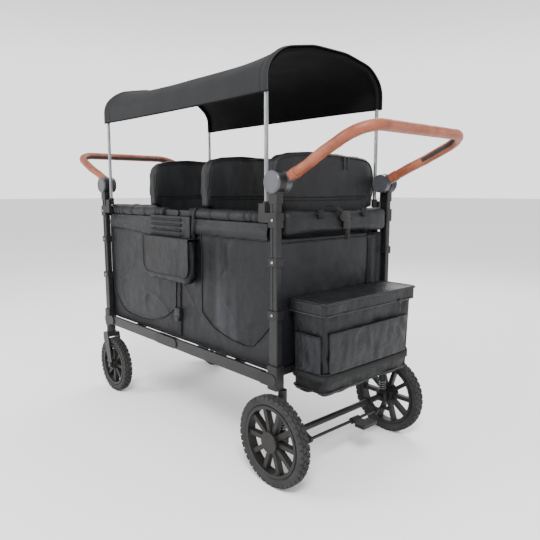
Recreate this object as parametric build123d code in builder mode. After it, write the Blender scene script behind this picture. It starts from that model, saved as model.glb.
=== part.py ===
"""Folding four-wheel wagon for children, with a canopy, two push handles and three seat backs.

Frame: X runs along the wagon (+X is the end with the storage bag and the big fixed wheels,
-X the end with the swivel casters), Y runs across it (-Y is the left side of a wagon driven
towards -X) and Z is up. The origin lies on the ground below the middle. Millimetres.

The frame folds along X: the floor bars hinge up in the middle while the top rails hinge down,
and both end frames stay upright.
"""
from math import cos, radians, sin
import os

from build123d import *

os.makedirs("parts", exist_ok=True)

# ---------------------------------------------------------------- driving dimensions
POST_X = 511.0  # centre of the corner posts, along the wagon
POST_Y = 250.0  # centre of the corner posts, across the wagon
PIVOT_Z = 858.0  # handle pivot height
RAIL_Z = 760.0  # top rail centre height
CANOPY_TOP_Z = 1237.0  # centre of the canopy hoop tube at its crown
CANOPY_EDGE_Z = 1100.0  # lower edge of the canopy fabric
SEAT_Z = 545.0  # top of the seat benches
BACK_TOP_Z = 957.0  # top of the seat backs

# Fits and gaps
RUN_FIT = 0.05  # radial clearance of a running fit
OPEN_FIT = 0.6  # radial clearance at the pivot where the linkage loop is left open
SOFT_GAP = 0.3  # gap between a soft part and what carries it
SWEEP_GAP = 2.0  # gap kept between parts that pass each other

# Corner posts: a narrow upper section slides into a wider lower one
POST_UPPER = (28.0, 20.0)
POST_LOWER = (32.0, 22.0)
POST_WALL = 2.0
POST_CORNER = 3.0
POST_GROOVE = (6.0, 1.0)
POST_STEP_Z = 491.0
POST_TOP_Z = PIVOT_Z - 36.0
COLLAR_WALL = 4.0
COLLAR_HEIGHT = 24.0
MIDDLE_COLLAR_Z = 639.0
RAIL_COLLAR_HEIGHT = 40.0
RAIL_COLLAR_Z = 755.0
CASTER_WHEEL_R = 112.0
CASTER_CROWN_GAP = 4.0  # between the caster wheel and the fork crown above it
CASTER_CROWN_HEIGHT = 16.0
CASTER_HOUSING_HEIGHT = 31.0  # from the top of the crown to the foot of the post
CROWN_BOTTOM_Z = 2 * CASTER_WHEEL_R + CASTER_CROWN_GAP
CROWN_Z = (CROWN_BOTTOM_Z, CROWN_BOTTOM_Z + CASTER_CROWN_HEIGHT)
BRACKET_BOTTOM_Z = CROWN_Z[1] + CASTER_HOUSING_HEIGHT
BRACKET_TOP_Z = BRACKET_BOTTOM_Z + 70.0
FLOOR_Z = BRACKET_BOTTOM_Z + 28.0  # floor bar centre height

# Fold pivots and the bars between them
FOLD_PIN_INSET = 41.0  # from the post centre to the fold pins
FOLD_PIN_R = 5.0
CENTRE_TRIM = 75.0  # how far a bar stops short of the middle pivot, so that it can fold flat
FLOOR_BAR = (10.0, 36.0)  # thickness across the wagon, height
FLOOR_BAR_Y = POST_Y + 9.0
FLOOR_CROSS_X = 310.0
FLOOR_CROSS_R = 10.0
PLATE = 3.2  # thickness of hinge plates
RAIL_Y = POST_Y - 18.0
RAIL_R = 11.0
LOWER_TUBE_Z = BRACKET_TOP_Z - 25.0  # centre of the lower cross tube of each end
PANEL_GAP = 2.0  # between the lower cross tube and the end panel
RAIL_WRAP_R = 17.5
RAIL_KNUCKLE_R = 13.0
RAIL_PLATE = 4.0
RAIL_PIN_R = 4.0

# Handles
HUB_R = 31.5
HUB_OUTER_Y = POST_Y + 20.0
HUB_INNER_Y = POST_Y - 35.0
HUB_CHAMFER = 3.0
HUB_SHAFT_R = 9.0
HUB_SPLIT = 0.3
HANDLE_ANGLE = 25.0
HANDLE_REACH = 315.0
HANDLE_Y = POST_Y - 14.0
HANDLE_BEND = 70.0
HANDLE_TUBE_R = 9.5
HANDLE_WRAP_R = 15.0
ARM_SOCKET_R = 16.0
ARM_SOCKET_END = 56.0
ARM_FLARE = (110.0, 165.0)  # where the arms start and stop spreading apart

# Canopy
HOOP_X = POST_X - 43.0
HOOP_Y = POST_Y - 4.0
HOOP_R = 6.0
HOOP_CUP_R = 10.0
HOOP_CUP_Z = (780.0, 806.0)
CANOPY_CLOTH = 3.0
CANOPY_OVERHANG = 14.0

# Rear axle, its springs and the brake
AXLE_X = POST_X + 17.0
REAR_WHEEL_R = 132.0
REAR_WHEEL_WIDTH = 36.0
REAR_WHEEL_Y = POST_Y + 24.0
REAR_RIM_R = 104.0
AXLE_R = 8.0
AXLE_BEAM_R = 10.0
LEG_Y = POST_Y - 11.0
LEG_R = 13.0
LEG_FOOT_Z = REAR_WHEEL_R + 58.0
PLUNGER_R = 8.0
KNUCKLE = (32.0, 22.0, 34.0)
SPRING_WIRE = 3.6
BRAKE_X = AXLE_X + 34.0
BRAKE_Z = 111.0
BRAKE_ROD_R = 5.0
BRAKE_HALF_WIDTH = POST_Y - 45.0
BRAKE_BRACKET_Y = BRAKE_HALF_WIDTH - 45.0
PEDAL_Y = 50.0

# Casters
CASTER_WHEEL_WIDTH = 36.0
CASTER_RIM_R = 86.0
CASTER_TRAIL = 33.0
CASTER_AXLE_R = 6.0
CASTER_STEM_R = 9.0
CASTER_HOUSING_R = 18.0
FORK_GAP = 4.0
FORK_PLATE = 5.0

# Soft parts
WALL_CLOTH = 6.0
WALL_Y = POST_Y - 10.0
MAT_THICKNESS = 8.0
PAD_Z = (702.0, 786.0)
PAD_X = 56.0
PANEL_THICKNESS = 12.0
BACK_THICKNESS = 42.0
BACK_HALF_WIDTH = POST_Y - 14.0
BACK_NARROW = POST_Y - 42.0
BACK_BOTTOM_GAP = 0.3
BACK_REAR_FACES = {"rear": POST_X - 33.0, "middle": 164.0, "front": -164.0}
BENCH_DEPTH = 262.0
BENCH_THICKNESS = 24.0
BAG_DEPTH = 140.0
BAG_HALF_WIDTH = POST_Y - 35.0
BAG_Z = (262.0, 530.0)
BAG_WALL = 4.0
LID_THICKNESS = 10.0
POUCH_X = (-153.0, 135.0)
POUCH_Z = (521.0, 680.0)
POUCH_DEPTH = 46.0

# ---------------------------------------------------------------- derived values
ENDS = {"rear": 1, "front": -1}
SIDES = {"left": -1, "right": 1}
FOLD_X = POST_X - FOLD_PIN_INSET
ARM_Y = (HUB_INNER_Y + POST_Y - POST_UPPER[1] / 2 - 2 - HUB_SPLIT) / 2
ARM_START = HUB_R + 6  # where the handle tube starts inside its socket
AXLE_Z = REAR_WHEEL_R
CASTER_X = -POST_X + CASTER_TRAIL
RAIL_PLATE_Y = POST_Y + 3.0  # inner face of the plate that carries the rail pin and the hoop cup
COLLAR_OUTER_Y = POST_Y + POST_UPPER[1] / 2 + COLLAR_WALL
BRACKET_OUTER_Y = POST_Y + POST_LOWER[1] / 2 + COLLAR_WALL + 1
FLOOR_OUTER_Y = FLOOR_BAR_Y + FLOOR_BAR[0] / 2
BAG_X = (POST_X + RAIL_R + SOFT_GAP, POST_X + RAIL_R + SOFT_GAP + BAG_DEPTH)
MAT_Z = FLOOR_Z + FLOOR_CROSS_R + SOFT_GAP
PLUNGER_SHOULDER_Z = AXLE_Z + KNUCKLE[2] / 2 + 2


def keep(piece, node):
    """Label a finished piece and write it as its own STEP file."""
    piece.label = node
    export_step(piece, f"parts/{node}.step")


def across(y):
    """The plane that faces along Y at this y, with its own x along X and its own y along Z."""
    return Plane.XZ.offset(-y)


def along(x):
    """The plane that faces along X at this x, with its own x along Y and its own y along Z."""
    return Plane.YZ.offset(x)


def level(z):
    """The level plane at this height."""
    return Plane.XY.offset(z)


def disc(x, z, y_from, y_to, radius, mode=Mode.ADD):
    """Add or cut a round piece whose axis runs across the wagon, from y_from to y_to."""
    with BuildSketch(across((y_from + y_to) / 2)) as round_face:
        with Locations((x, z)):
            Circle(radius)
    extrude(round_face.sketch, amount=abs(y_to - y_from) / 2, both=True, mode=mode)


def block(x_range, y_range, z_range, mode=Mode.ADD):
    """Add or cut a rectangular piece given by its limits on each axis."""
    low = z_range[0]
    with BuildSketch(level(low)) as base:
        with Locations(((x_range[0] + x_range[1]) / 2, (y_range[0] + y_range[1]) / 2)):
            Rectangle(abs(x_range[1] - x_range[0]), abs(y_range[1] - y_range[0]))
    extrude(base.sketch, amount=z_range[1] - low, mode=mode)


def upright(x, y, z_from, z_to, radius, mode=Mode.ADD):
    """Add or cut a round piece whose axis is upright."""
    with BuildSketch(level(z_from)) as round_face:
        with Locations((x, y)):
            Circle(radius)
    extrude(round_face.sketch, amount=z_to - z_from, mode=mode)


def section(x, y, z_from, z_to, size, corner, mode=Mode.ADD):
    """Add or cut an upright piece with a rounded rectangular section."""
    with BuildSketch(level(z_from)) as outline:
        with Locations((x, y)):
            RectangleRounded(size[0], size[1], corner)
    extrude(outline.sketch, amount=z_to - z_from, mode=mode)


def inner(size):
    """The hollow inside a post section."""
    return size[0] - 2 * POST_WALL, size[1] - 2 * POST_WALL


# ---------------------------------------------------------------- corner posts
def corner_post(end, side):
    """A hollow two-step post with a shallow groove down its outer face."""
    x = ENDS[end] * POST_X
    y = SIDES[side] * POST_Y
    groove_y = y + SIDES[side] * POST_UPPER[1] / 2
    with BuildPart() as post:
        section(x, y, BRACKET_BOTTOM_Z, POST_STEP_Z, POST_LOWER, POST_CORNER)
        section(x, y, POST_STEP_Z, POST_TOP_Z, POST_UPPER, POST_CORNER)
        section(x, y, BRACKET_BOTTOM_Z, POST_TOP_Z, inner(POST_UPPER), POST_CORNER / 3, Mode.SUBTRACT)
        with BuildSketch(level(POST_STEP_Z)):
            with Locations((x, groove_y)):
                Rectangle(POST_GROOVE[0], 2 * POST_GROOVE[1])
        extrude(amount=POST_TOP_Z - POST_STEP_Z, mode=Mode.SUBTRACT)
    return post.part


def make_posts(end):
    """The two posts of one end frame."""
    keep(Compound(children=[corner_post(end, side) for side in SIDES]), f"{end}_posts")


def plain_collar(x, y, z, size, height):
    """A ring that wraps a post at height z."""
    outside = (size[0] + 2 * COLLAR_WALL, size[1] + 2 * COLLAR_WALL)
    with BuildPart() as collar:
        section(x, y, z - height / 2, z + height / 2, outside, POST_CORNER + 1)
        chamfer(collar.faces().filter_by(Axis.Z).edges(), 1)
        section(x, y, z - height / 2, z + height / 2, size, POST_CORNER, Mode.SUBTRACT)
    return collar.part


def step_collar(x, y):
    """The collar where the upper post section enters the lower one."""
    outside = (POST_LOWER[0] + 2 * COLLAR_WALL, POST_LOWER[1] + 2 * COLLAR_WALL)
    low = POST_STEP_Z - COLLAR_HEIGHT / 2
    high = POST_STEP_Z + COLLAR_HEIGHT / 2
    with BuildPart() as collar:
        section(x, y, low, high, outside, POST_CORNER + 1)
        chamfer(collar.faces().filter_by(Axis.Z).edges(), 1)
        section(x, y, low, POST_STEP_Z, POST_LOWER, POST_CORNER, Mode.SUBTRACT)
        section(x, y, POST_STEP_Z, high, POST_UPPER, POST_CORNER, Mode.SUBTRACT)
    return collar.part


def rail_collar(end, side):
    """The collar that carries the top rail's fold pin and the canopy hoop's cup."""
    way = ENDS[end]
    hand = SIDES[side]
    x = way * POST_X
    y = hand * POST_Y
    outside = (POST_UPPER[0] + 2 * COLLAR_WALL, POST_UPPER[1] + 2 * COLLAR_WALL)
    low = RAIL_COLLAR_Z - RAIL_COLLAR_HEIGHT / 2
    high = RAIL_COLLAR_Z + RAIL_COLLAR_HEIGHT / 2
    with BuildPart() as collar:
        section(x, y, low, high, outside, POST_CORNER + 1)
        plate_x = (x, way * (HOOP_X - HOOP_CUP_R - 3))
        block(plate_x, (hand * RAIL_PLATE_Y, hand * COLLAR_OUTER_Y), (RAIL_Z - 12, high))
        cup_x = (way * (HOOP_X - HOOP_CUP_R - 3), way * (HOOP_X + HOOP_CUP_R + 3))
        block(cup_x, (hand * RAIL_PLATE_Y, hand * COLLAR_OUTER_Y), (RAIL_Z, HOOP_CUP_Z[1] - 6))
        upright(way * HOOP_X, hand * HOOP_Y, HOOP_CUP_Z[0], HOOP_CUP_Z[1], HOOP_CUP_R)
        disc(way * FOLD_X, RAIL_Z, hand * (RAIL_PLATE_Y + 1), hand * (RAIL_Y - RAIL_R), FOLD_PIN_R)
        section(x, y, low, high, POST_UPPER, POST_CORNER, Mode.SUBTRACT)
        upright(way * HOOP_X, hand * HOOP_Y, HOOP_CUP_Z[0] + 3, HOOP_CUP_Z[1],
                HOOP_R + RUN_FIT, Mode.SUBTRACT)
    return collar.part


def floor_bracket(end, side):
    """The bracket at a post's foot, with an ear and a pin for the floor bar."""
    way = ENDS[end]
    hand = SIDES[side]
    x = way * POST_X
    y = hand * POST_Y
    outside = (POST_LOWER[0] + 2 * COLLAR_WALL, POST_LOWER[1] + 2 * COLLAR_WALL + 2)
    ear_y = (hand * (FLOOR_OUTER_Y + 0.4), hand * (FLOOR_OUTER_Y + 0.4 + RAIL_PLATE))
    with BuildPart() as bracket:
        section(x, y, BRACKET_BOTTOM_Z, BRACKET_TOP_Z, outside, POST_CORNER + 1)
        with BuildSketch(across((ear_y[0] + ear_y[1]) / 2)):
            with Locations((way * (FOLD_X + POST_X) / 2, FLOOR_Z)):
                SlotCenterToCenter(FOLD_PIN_INSET, FLOOR_BAR[1])
        extrude(amount=RAIL_PLATE / 2, both=True)
        disc(way * FOLD_X, FLOOR_Z, hand * (FLOOR_OUTER_Y + 1), hand * (FLOOR_BAR_Y - FLOOR_BAR[0] / 2),
             FOLD_PIN_R)
        section(x, y, BRACKET_BOTTOM_Z, BRACKET_TOP_Z, POST_LOWER, POST_CORNER, Mode.SUBTRACT)
    return bracket.part


def make_collars(end):
    """All collars of one end frame, as separate pieces in one node."""
    pieces = []
    for side in SIDES:
        x = ENDS[end] * POST_X
        y = SIDES[side] * POST_Y
        pieces.append(rail_collar(end, side))
        pieces.append(plain_collar(x, y, MIDDLE_COLLAR_Z, POST_UPPER, COLLAR_HEIGHT))
        pieces.append(step_collar(x, y))
        pieces.append(floor_bracket(end, side))
    keep(Compound(children=pieces), f"{end}_post_collars")


def make_pivot_heads(end):
    """The fixed middle drum of each handle pivot, on top of its post."""
    x = ENDS[end] * POST_X
    heads = []
    for hand in SIDES.values():
        half = POST_UPPER[1] / 2 + 2
        with BuildPart() as head:
            disc(x, PIVOT_Z, hand * (POST_Y - half), hand * (POST_Y + half), HUB_R)
            section(x, hand * POST_Y, POST_TOP_Z - 22, PIVOT_Z, (34, 2 * half), POST_CORNER)
            section(x, hand * POST_Y, POST_TOP_Z - 22, POST_TOP_Z, POST_UPPER, POST_CORNER, Mode.SUBTRACT)
            disc(x, PIVOT_Z, hand * (POST_Y - half), hand * (POST_Y + half), HUB_SHAFT_R + RUN_FIT,
                 Mode.SUBTRACT)
        heads.append(head.part)
    keep(Compound(children=heads), f"{end}_pivot_heads")


def make_cross_tubes(end):
    """The upper and lower tubes that join the two posts of one end."""
    x = ENDS[end] * POST_X
    upper_half = POST_Y - POST_UPPER[1] / 2 - COLLAR_WALL
    lower_half = POST_Y - POST_LOWER[1] / 2 - COLLAR_WALL - 1
    tubes = []
    for z, half in ((RAIL_Z, upper_half), (LOWER_TUBE_Z, lower_half)):
        with BuildPart() as tube:
            disc(x, z, -half, half, RAIL_R)
            disc(x, z, -half, half, RAIL_R - POST_WALL, Mode.SUBTRACT)
        tubes.append(tube.part)
    keep(Compound(children=tubes), f"{end}_cross_tubes")


def make_rivets(end):
    """Domed rivets on the outer face of the collars and the floor brackets."""
    x = ENDS[end] * POST_X
    places = [(MIDDLE_COLLAR_Z, COLLAR_OUTER_Y), (RAIL_COLLAR_Z, COLLAR_OUTER_Y),
              (POST_STEP_Z, BRACKET_OUTER_Y - 1)]
    rivets = []
    for hand in SIDES.values():
        for z, face_y in places:
            with BuildPart() as rivet:
                disc(x, z, hand * face_y, hand * (face_y + 2), 4)
                chamfer(rivet.faces().sort_by(Axis.Y)[-1 if hand > 0 else 0].edges(), 0.8)
            rivets.append(rivet.part)
    keep(Compound(children=rivets), f"{end}_rivets")


# ---------------------------------------------------------------- soft parts on each end frame
def make_rail_pad(end):
    """The padded cover over an end frame's upper tube."""
    way = ENDS[end]
    half = POST_Y - POST_UPPER[1] / 2 - COLLAR_WALL - 3
    with BuildPart() as pad:
        with BuildSketch(across(0)):
            with Locations((way * POST_X, (PAD_Z[0] + PAD_Z[1]) / 2)):
                RectangleRounded(PAD_X, PAD_Z[1] - PAD_Z[0], 14)
        extrude(amount=half, both=True)
        disc(way * POST_X, RAIL_Z, -half, half, RAIL_R, Mode.SUBTRACT)
    keep(pad.part, f"{end}_rail_pad")


def make_end_panel(end):
    """The fabric panel that closes one end of the cabin."""
    way = ENDS[end]
    half = POST_Y - POST_LOWER[1] / 2 - COLLAR_WALL - 2
    x = way * POST_X
    with BuildPart() as panel:
        block((x - PANEL_THICKNESS / 2, x + PANEL_THICKNESS / 2), (-half, half),
              (LOWER_TUBE_Z + RAIL_R + PANEL_GAP, PAD_Z[0] - SOFT_GAP))
        fillet(panel.edges().filter_by(Axis.Z), 3)
    keep(panel.part, f"{end}_end_panel")


# ---------------------------------------------------------------- floor frame and top rails
def make_floor_rear():
    """The rear floor bars, which reach the middle pivot, and the tube that joins them."""
    with BuildPart() as frame:
        for hand in SIDES.values():
            with BuildSketch(across(hand * FLOOR_BAR_Y)):
                with Locations((FOLD_X / 2, FLOOR_Z)):
                    SlotCenterToCenter(FOLD_X, FLOOR_BAR[1])
            extrude(amount=FLOOR_BAR[0] / 2, both=True)
        disc(FLOOR_CROSS_X, FLOOR_Z, -FLOOR_BAR_Y, FLOOR_BAR_Y, FLOOR_CROSS_R)
        for hand in SIDES.values():
            bar_y = (hand * (FLOOR_BAR_Y - FLOOR_BAR[0]), hand * (FLOOR_BAR_Y + FLOOR_BAR[0]))
            disc(FOLD_X, FLOOR_Z, bar_y[0], bar_y[1], FOLD_PIN_R + RUN_FIT, Mode.SUBTRACT)
            disc(0, FLOOR_Z, bar_y[0], bar_y[1], FOLD_PIN_R + RUN_FIT, Mode.SUBTRACT)
    keep(frame.part, "floor_frame_rear")


def make_floor_front():
    """The front floor bars, which stop short of the middle so that they can fold."""
    with BuildPart() as frame:
        for hand in SIDES.values():
            with BuildSketch(across(hand * FLOOR_BAR_Y)):
                with Locations((-FOLD_X / 2, FLOOR_Z)):
                    SlotCenterToCenter(FOLD_X, FLOOR_BAR[1])
            extrude(amount=FLOOR_BAR[0] / 2, both=True)
        disc(-FLOOR_CROSS_X, FLOOR_Z, -FLOOR_BAR_Y, FLOOR_BAR_Y, FLOOR_CROSS_R)
        block((-CENTRE_TRIM, FLOOR_BAR[1]), (-2 * POST_Y, 2 * POST_Y),
              (FLOOR_Z - FLOOR_BAR[1], FLOOR_Z + FLOOR_BAR[1]), Mode.SUBTRACT)
        for hand in SIDES.values():
            bar_y = (hand * (FLOOR_BAR_Y - FLOOR_BAR[0]), hand * (FLOOR_BAR_Y + FLOOR_BAR[0]))
            disc(-FOLD_X, FLOOR_Z, bar_y[0], bar_y[1], FOLD_PIN_R + RUN_FIT, Mode.SUBTRACT)
    keep(frame.part, "floor_frame_front")


def make_floor_hinges():
    """Two plates and a pin on each side, which carry the middle pivot of the floor bars."""
    brackets = []
    reach = CENTRE_TRIM + 30
    for hand in SIDES.values():
        with BuildPart() as bracket:
            for face in (-1, 1):
                near = FLOOR_BAR_Y + face * FLOOR_BAR[0] / 2
                gap = 0.2
                with BuildSketch(across(hand * (near + face * (gap + PLATE / 2)))):
                    with Locations((-reach / 2, FLOOR_Z)):
                        SlotCenterToCenter(reach, FLOOR_BAR[1])
                extrude(amount=PLATE / 2, both=True)
            span = FLOOR_BAR[0] / 2 + PLATE
            disc(0, FLOOR_Z, hand * (FLOOR_BAR_Y - span), hand * (FLOOR_BAR_Y + span), FOLD_PIN_R)
        brackets.append(bracket.part)
    keep(Compound(children=brackets), "floor_hinge_brackets")


def make_top_rails(end):
    """Both top rails of one half, with the knuckle at the post and the middle hinge plates."""
    way = ENDS[end]
    rails = []
    for hand in SIDES.values():
        y = hand * RAIL_Y
        with BuildPart() as rail:
            start = way * (CENTRE_TRIM if way > 0 else FOLD_X)
            with BuildSketch(along(start)):
                with Locations((y, RAIL_Z)):
                    Circle(RAIL_R)
            extrude(amount=FOLD_X - CENTRE_TRIM)
            disc(way * FOLD_X, RAIL_Z, y - RAIL_R - 0.5, y + RAIL_R + 0.5, RAIL_KNUCKLE_R)
            offsets = (0,) if end == "rear" else (-(RAIL_PLATE + 0.3), RAIL_PLATE + 0.3)
            for offset_y in offsets:
                with BuildSketch(across(y + offset_y)):
                    with Locations((way * (CENTRE_TRIM - 8) / 2, RAIL_Z)):
                        SlotCenterToCenter(CENTRE_TRIM - 8, 2 * RAIL_R - 3)
                extrude(amount=RAIL_PLATE / 2, both=True)
            if end == "rear":
                disc(0, RAIL_Z, y - RAIL_R, y + RAIL_R, RAIL_PIN_R + OPEN_FIT, Mode.SUBTRACT)
            else:
                half = 1.5 * RAIL_PLATE + 0.3
                disc(0, RAIL_Z, y - half, y + half, RAIL_PIN_R)
            disc(way * FOLD_X, RAIL_Z, y - 2 * RAIL_R, y + 2 * RAIL_R, FOLD_PIN_R + RUN_FIT, Mode.SUBTRACT)
        rails.append(rail.part)
    keep(Compound(children=rails), f"top_rails_{end}")


def make_rail_wraps(end):
    """The padded sleeves around the top rails of one half."""
    way = ENDS[end]
    near = CENTRE_TRIM + 5
    far = FOLD_X - RAIL_WRAP_R - 5
    wraps = []
    for hand in SIDES.values():
        with BuildPart() as wrap:
            with BuildSketch(along(way * near if way > 0 else way * far)):
                with Locations((hand * RAIL_Y, RAIL_Z)):
                    Circle(RAIL_WRAP_R)
                    Circle(RAIL_R, mode=Mode.SUBTRACT)
            extrude(amount=far - near)
        wraps.append(wrap.part)
    keep(Compound(children=wraps), f"rail_wraps_{end}")


# ---------------------------------------------------------------- handles
def handle_point(end, reach, y):
    """A point of the handle at this distance from its pivot, in the handle's tilted plane."""
    tilt = radians(HANDLE_ANGLE)
    return ENDS[end] * (POST_X + reach * cos(tilt)), y, PIVOT_Z + reach * sin(tilt)


def handle_path(end, first):
    """Corner points of the handle's tube from one pivot, round the grip, to the other."""
    half = [handle_point(end, first, -ARM_Y), handle_point(end, ARM_FLARE[0], -ARM_Y),
            handle_point(end, ARM_FLARE[1], -HANDLE_Y), handle_point(end, HANDLE_REACH, -HANDLE_Y)]
    return half + [(x, -y, z) for x, y, z in reversed(half)]


def sweep_handle(end, first, outer, hollow):
    """A round tube or sleeve swept along the handle's path."""
    flare_bend = HANDLE_BEND * 2
    radii = [flare_bend, flare_bend, HANDLE_BEND]
    with BuildPart() as tube:
        with BuildLine() as path:
            FilletPolyline(*handle_path(end, first), radius=radii + radii[::-1])
        with BuildSketch(Plane(origin=path.line @ 0, z_dir=path.line % 0)):
            Circle(outer)
            if hollow:
                Circle(hollow, mode=Mode.SUBTRACT)
        sweep()
    return tube.part


def make_handle(end):
    """The U-shaped tube, its wrapped grip and the two rotating hubs."""
    keep(sweep_handle(end, ARM_START, HANDLE_TUBE_R, 0), f"handle_{end}_tube")
    keep(sweep_handle(end, ARM_SOCKET_END, HANDLE_WRAP_R, HANDLE_TUBE_R), f"handle_{end}_wrap")
    x = ENDS[end] * POST_X
    half = POST_UPPER[1] / 2 + 2 + HUB_SPLIT
    tilt = radians(HANDLE_ANGLE)
    socket_way = (ENDS[end] * cos(tilt), 0, sin(tilt))
    hubs = []
    for hand in SIDES.values():
        with BuildPart() as hub:
            disc(x, PIVOT_Z, hand * (POST_Y + half), hand * HUB_OUTER_Y, HUB_R)
            outer_face = hub.faces().sort_by(Axis.Y)[-1 if hand > 0 else 0]
            chamfer(outer_face.edges(), HUB_CHAMFER)
            disc(x, PIVOT_Z, hand * HUB_INNER_Y, hand * (POST_Y - half), HUB_R - 2)
            disc(x, PIVOT_Z, hand * (POST_Y - half - 1), hand * (POST_Y + half + 1), HUB_SHAFT_R)
            root = HUB_R / 2
            socket = Plane(origin=handle_point(end, root, hand * ARM_Y), x_dir=(0, 1, 0), z_dir=socket_way)
            with BuildSketch(socket):
                RectangleRounded(2 * (ARM_Y - HUB_INNER_Y), 2 * ARM_SOCKET_R, HANDLE_TUBE_R)
            extrude(amount=ARM_SOCKET_END - root)
            with BuildSketch(socket.offset(ARM_START - root)):
                Circle(HANDLE_TUBE_R)
            extrude(amount=HANDLE_REACH, mode=Mode.SUBTRACT)
        hubs.append(hub.part)
    keep(Compound(children=hubs), f"handle_{end}_hubs")


# ---------------------------------------------------------------- canopy
def hoop_points():
    """Corner points of a canopy hoop, as (y, z), from one foot over the crown to the other."""
    foot = (-HOOP_Y, HOOP_CUP_Z[0] + 3)
    shoulder = (-HOOP_Y, CANOPY_TOP_Z - 68)
    haunch = (-HOOP_Y + 58, CANOPY_TOP_Z - 20)
    crown = (-HOOP_Y / 3.5, CANOPY_TOP_Z + 2)
    half = [foot, shoulder, haunch, crown]
    return half + [(-y, z) for y, z in reversed(half)]


def make_hoop(end):
    """One steel hoop that stands in the cups of its two posts."""
    x = ENDS[end] * HOOP_X
    with BuildPart() as hoop:
        with BuildLine() as path:
            FilletPolyline(*[(x, y, z) for y, z in hoop_points()], radius=70)
        with BuildSketch(Plane(origin=path.line @ 0, z_dir=path.line % 0)):
            Circle(HOOP_R)
        sweep()
    keep(hoop.part, f"canopy_hoop_{end}")


def arch_face(margin, mode):
    """The filled outline of the hoop, grown by a margin, in the current sketch."""
    with BuildSketch(along(0), mode=Mode.PRIVATE) as arch:
        with BuildLine():
            line = FilletPolyline(*hoop_points(), radius=70)
            Line(line @ 1, line @ 0)
        make_face()
        offset(amount=margin, kind=Kind.INTERSECTION)
    add(arch.sketch_local, mode=mode)


def make_canopy():
    """The canopy fabric: a thin arch over both hoops with straight lower edges."""
    half = HOOP_X + CANOPY_OVERHANG
    inside = HOOP_R + SOFT_GAP
    with BuildPart() as canopy:
        with BuildSketch(along(-half)):
            arch_face(inside + CANOPY_CLOTH, Mode.ADD)
            arch_face(inside, Mode.SUBTRACT)
            with Locations((0, CANOPY_EDGE_Z - 500)):
                Rectangle(4 * HOOP_Y, 1000, mode=Mode.SUBTRACT)
        extrude(amount=2 * half)
    keep(canopy.part, "canopy_fabric")


# ---------------------------------------------------------------- wheels
def make_rim(node, x, z, y, width, rim_r, bore_r, spokes, hub_y):
    """A spoked wheel centre with a rim ring, a hub and a bore for its axle."""
    ring = 9.0
    hub_r = rim_r * 0.24
    blade = rim_r * 0.13
    with BuildPart() as rim:
        with BuildSketch(across(y)):
            with Locations((x, z)):
                Circle(rim_r)
                Circle(rim_r - ring, mode=Mode.SUBTRACT)
        extrude(amount=width / 2 - 3, both=True)
        disc(x, z, hub_y[0], hub_y[1], hub_r)
        with BuildSketch(across(y)):
            with Locations((x, z)):
                with PolarLocations(0, spokes):
                    with Locations(((hub_r + rim_r - ring) / 2, 0)):
                        Rectangle(rim_r - ring - hub_r + 8, blade)
        extrude(amount=width / 4, both=True)
        disc(x, z, hub_y[0], hub_y[1], bore_r, Mode.SUBTRACT)
    keep(rim.part, node)


def make_tyre(node, x, z, y, width, outer_r, rim_r):
    """A tyre with rounded shoulders and one groove along each side of its tread."""
    with BuildPart() as tyre:
        disc(x, z, y - width / 2, y + width / 2, outer_r)
        fillet(tyre.faces().filter_by(Axis.Y).edges(), 7)
        disc(x, z, y - width / 2, y + width / 2, rim_r, Mode.SUBTRACT)
    keep(tyre.part, node)


def make_rear_wheel(side):
    """One fixed rear wheel: rim, tyre and hub cap."""
    hand = SIDES[side]
    y = hand * REAR_WHEEL_Y
    inner_y = hand * (LEG_Y + KNUCKLE[1] / 2 + SWEEP_GAP)
    outer_y = hand * (REAR_WHEEL_Y + REAR_WHEEL_WIDTH / 2)
    make_rim(f"wheel_rear_{side}_rim", AXLE_X, AXLE_Z, y, REAR_WHEEL_WIDTH, REAR_RIM_R,
             AXLE_R + RUN_FIT, 10, (inner_y, outer_y))
    make_tyre(f"wheel_rear_{side}_tyre", AXLE_X, AXLE_Z, y, REAR_WHEEL_WIDTH, REAR_WHEEL_R, REAR_RIM_R)
    with BuildPart() as cap:
        disc(AXLE_X, AXLE_Z, outer_y, outer_y + hand * 3, REAR_RIM_R * 0.3)
        chamfer(cap.faces().sort_by(Axis.Y)[-1 if hand > 0 else 0].edges(), 1.5)
    keep(cap.part, f"wheel_rear_{side}_cap")


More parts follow.
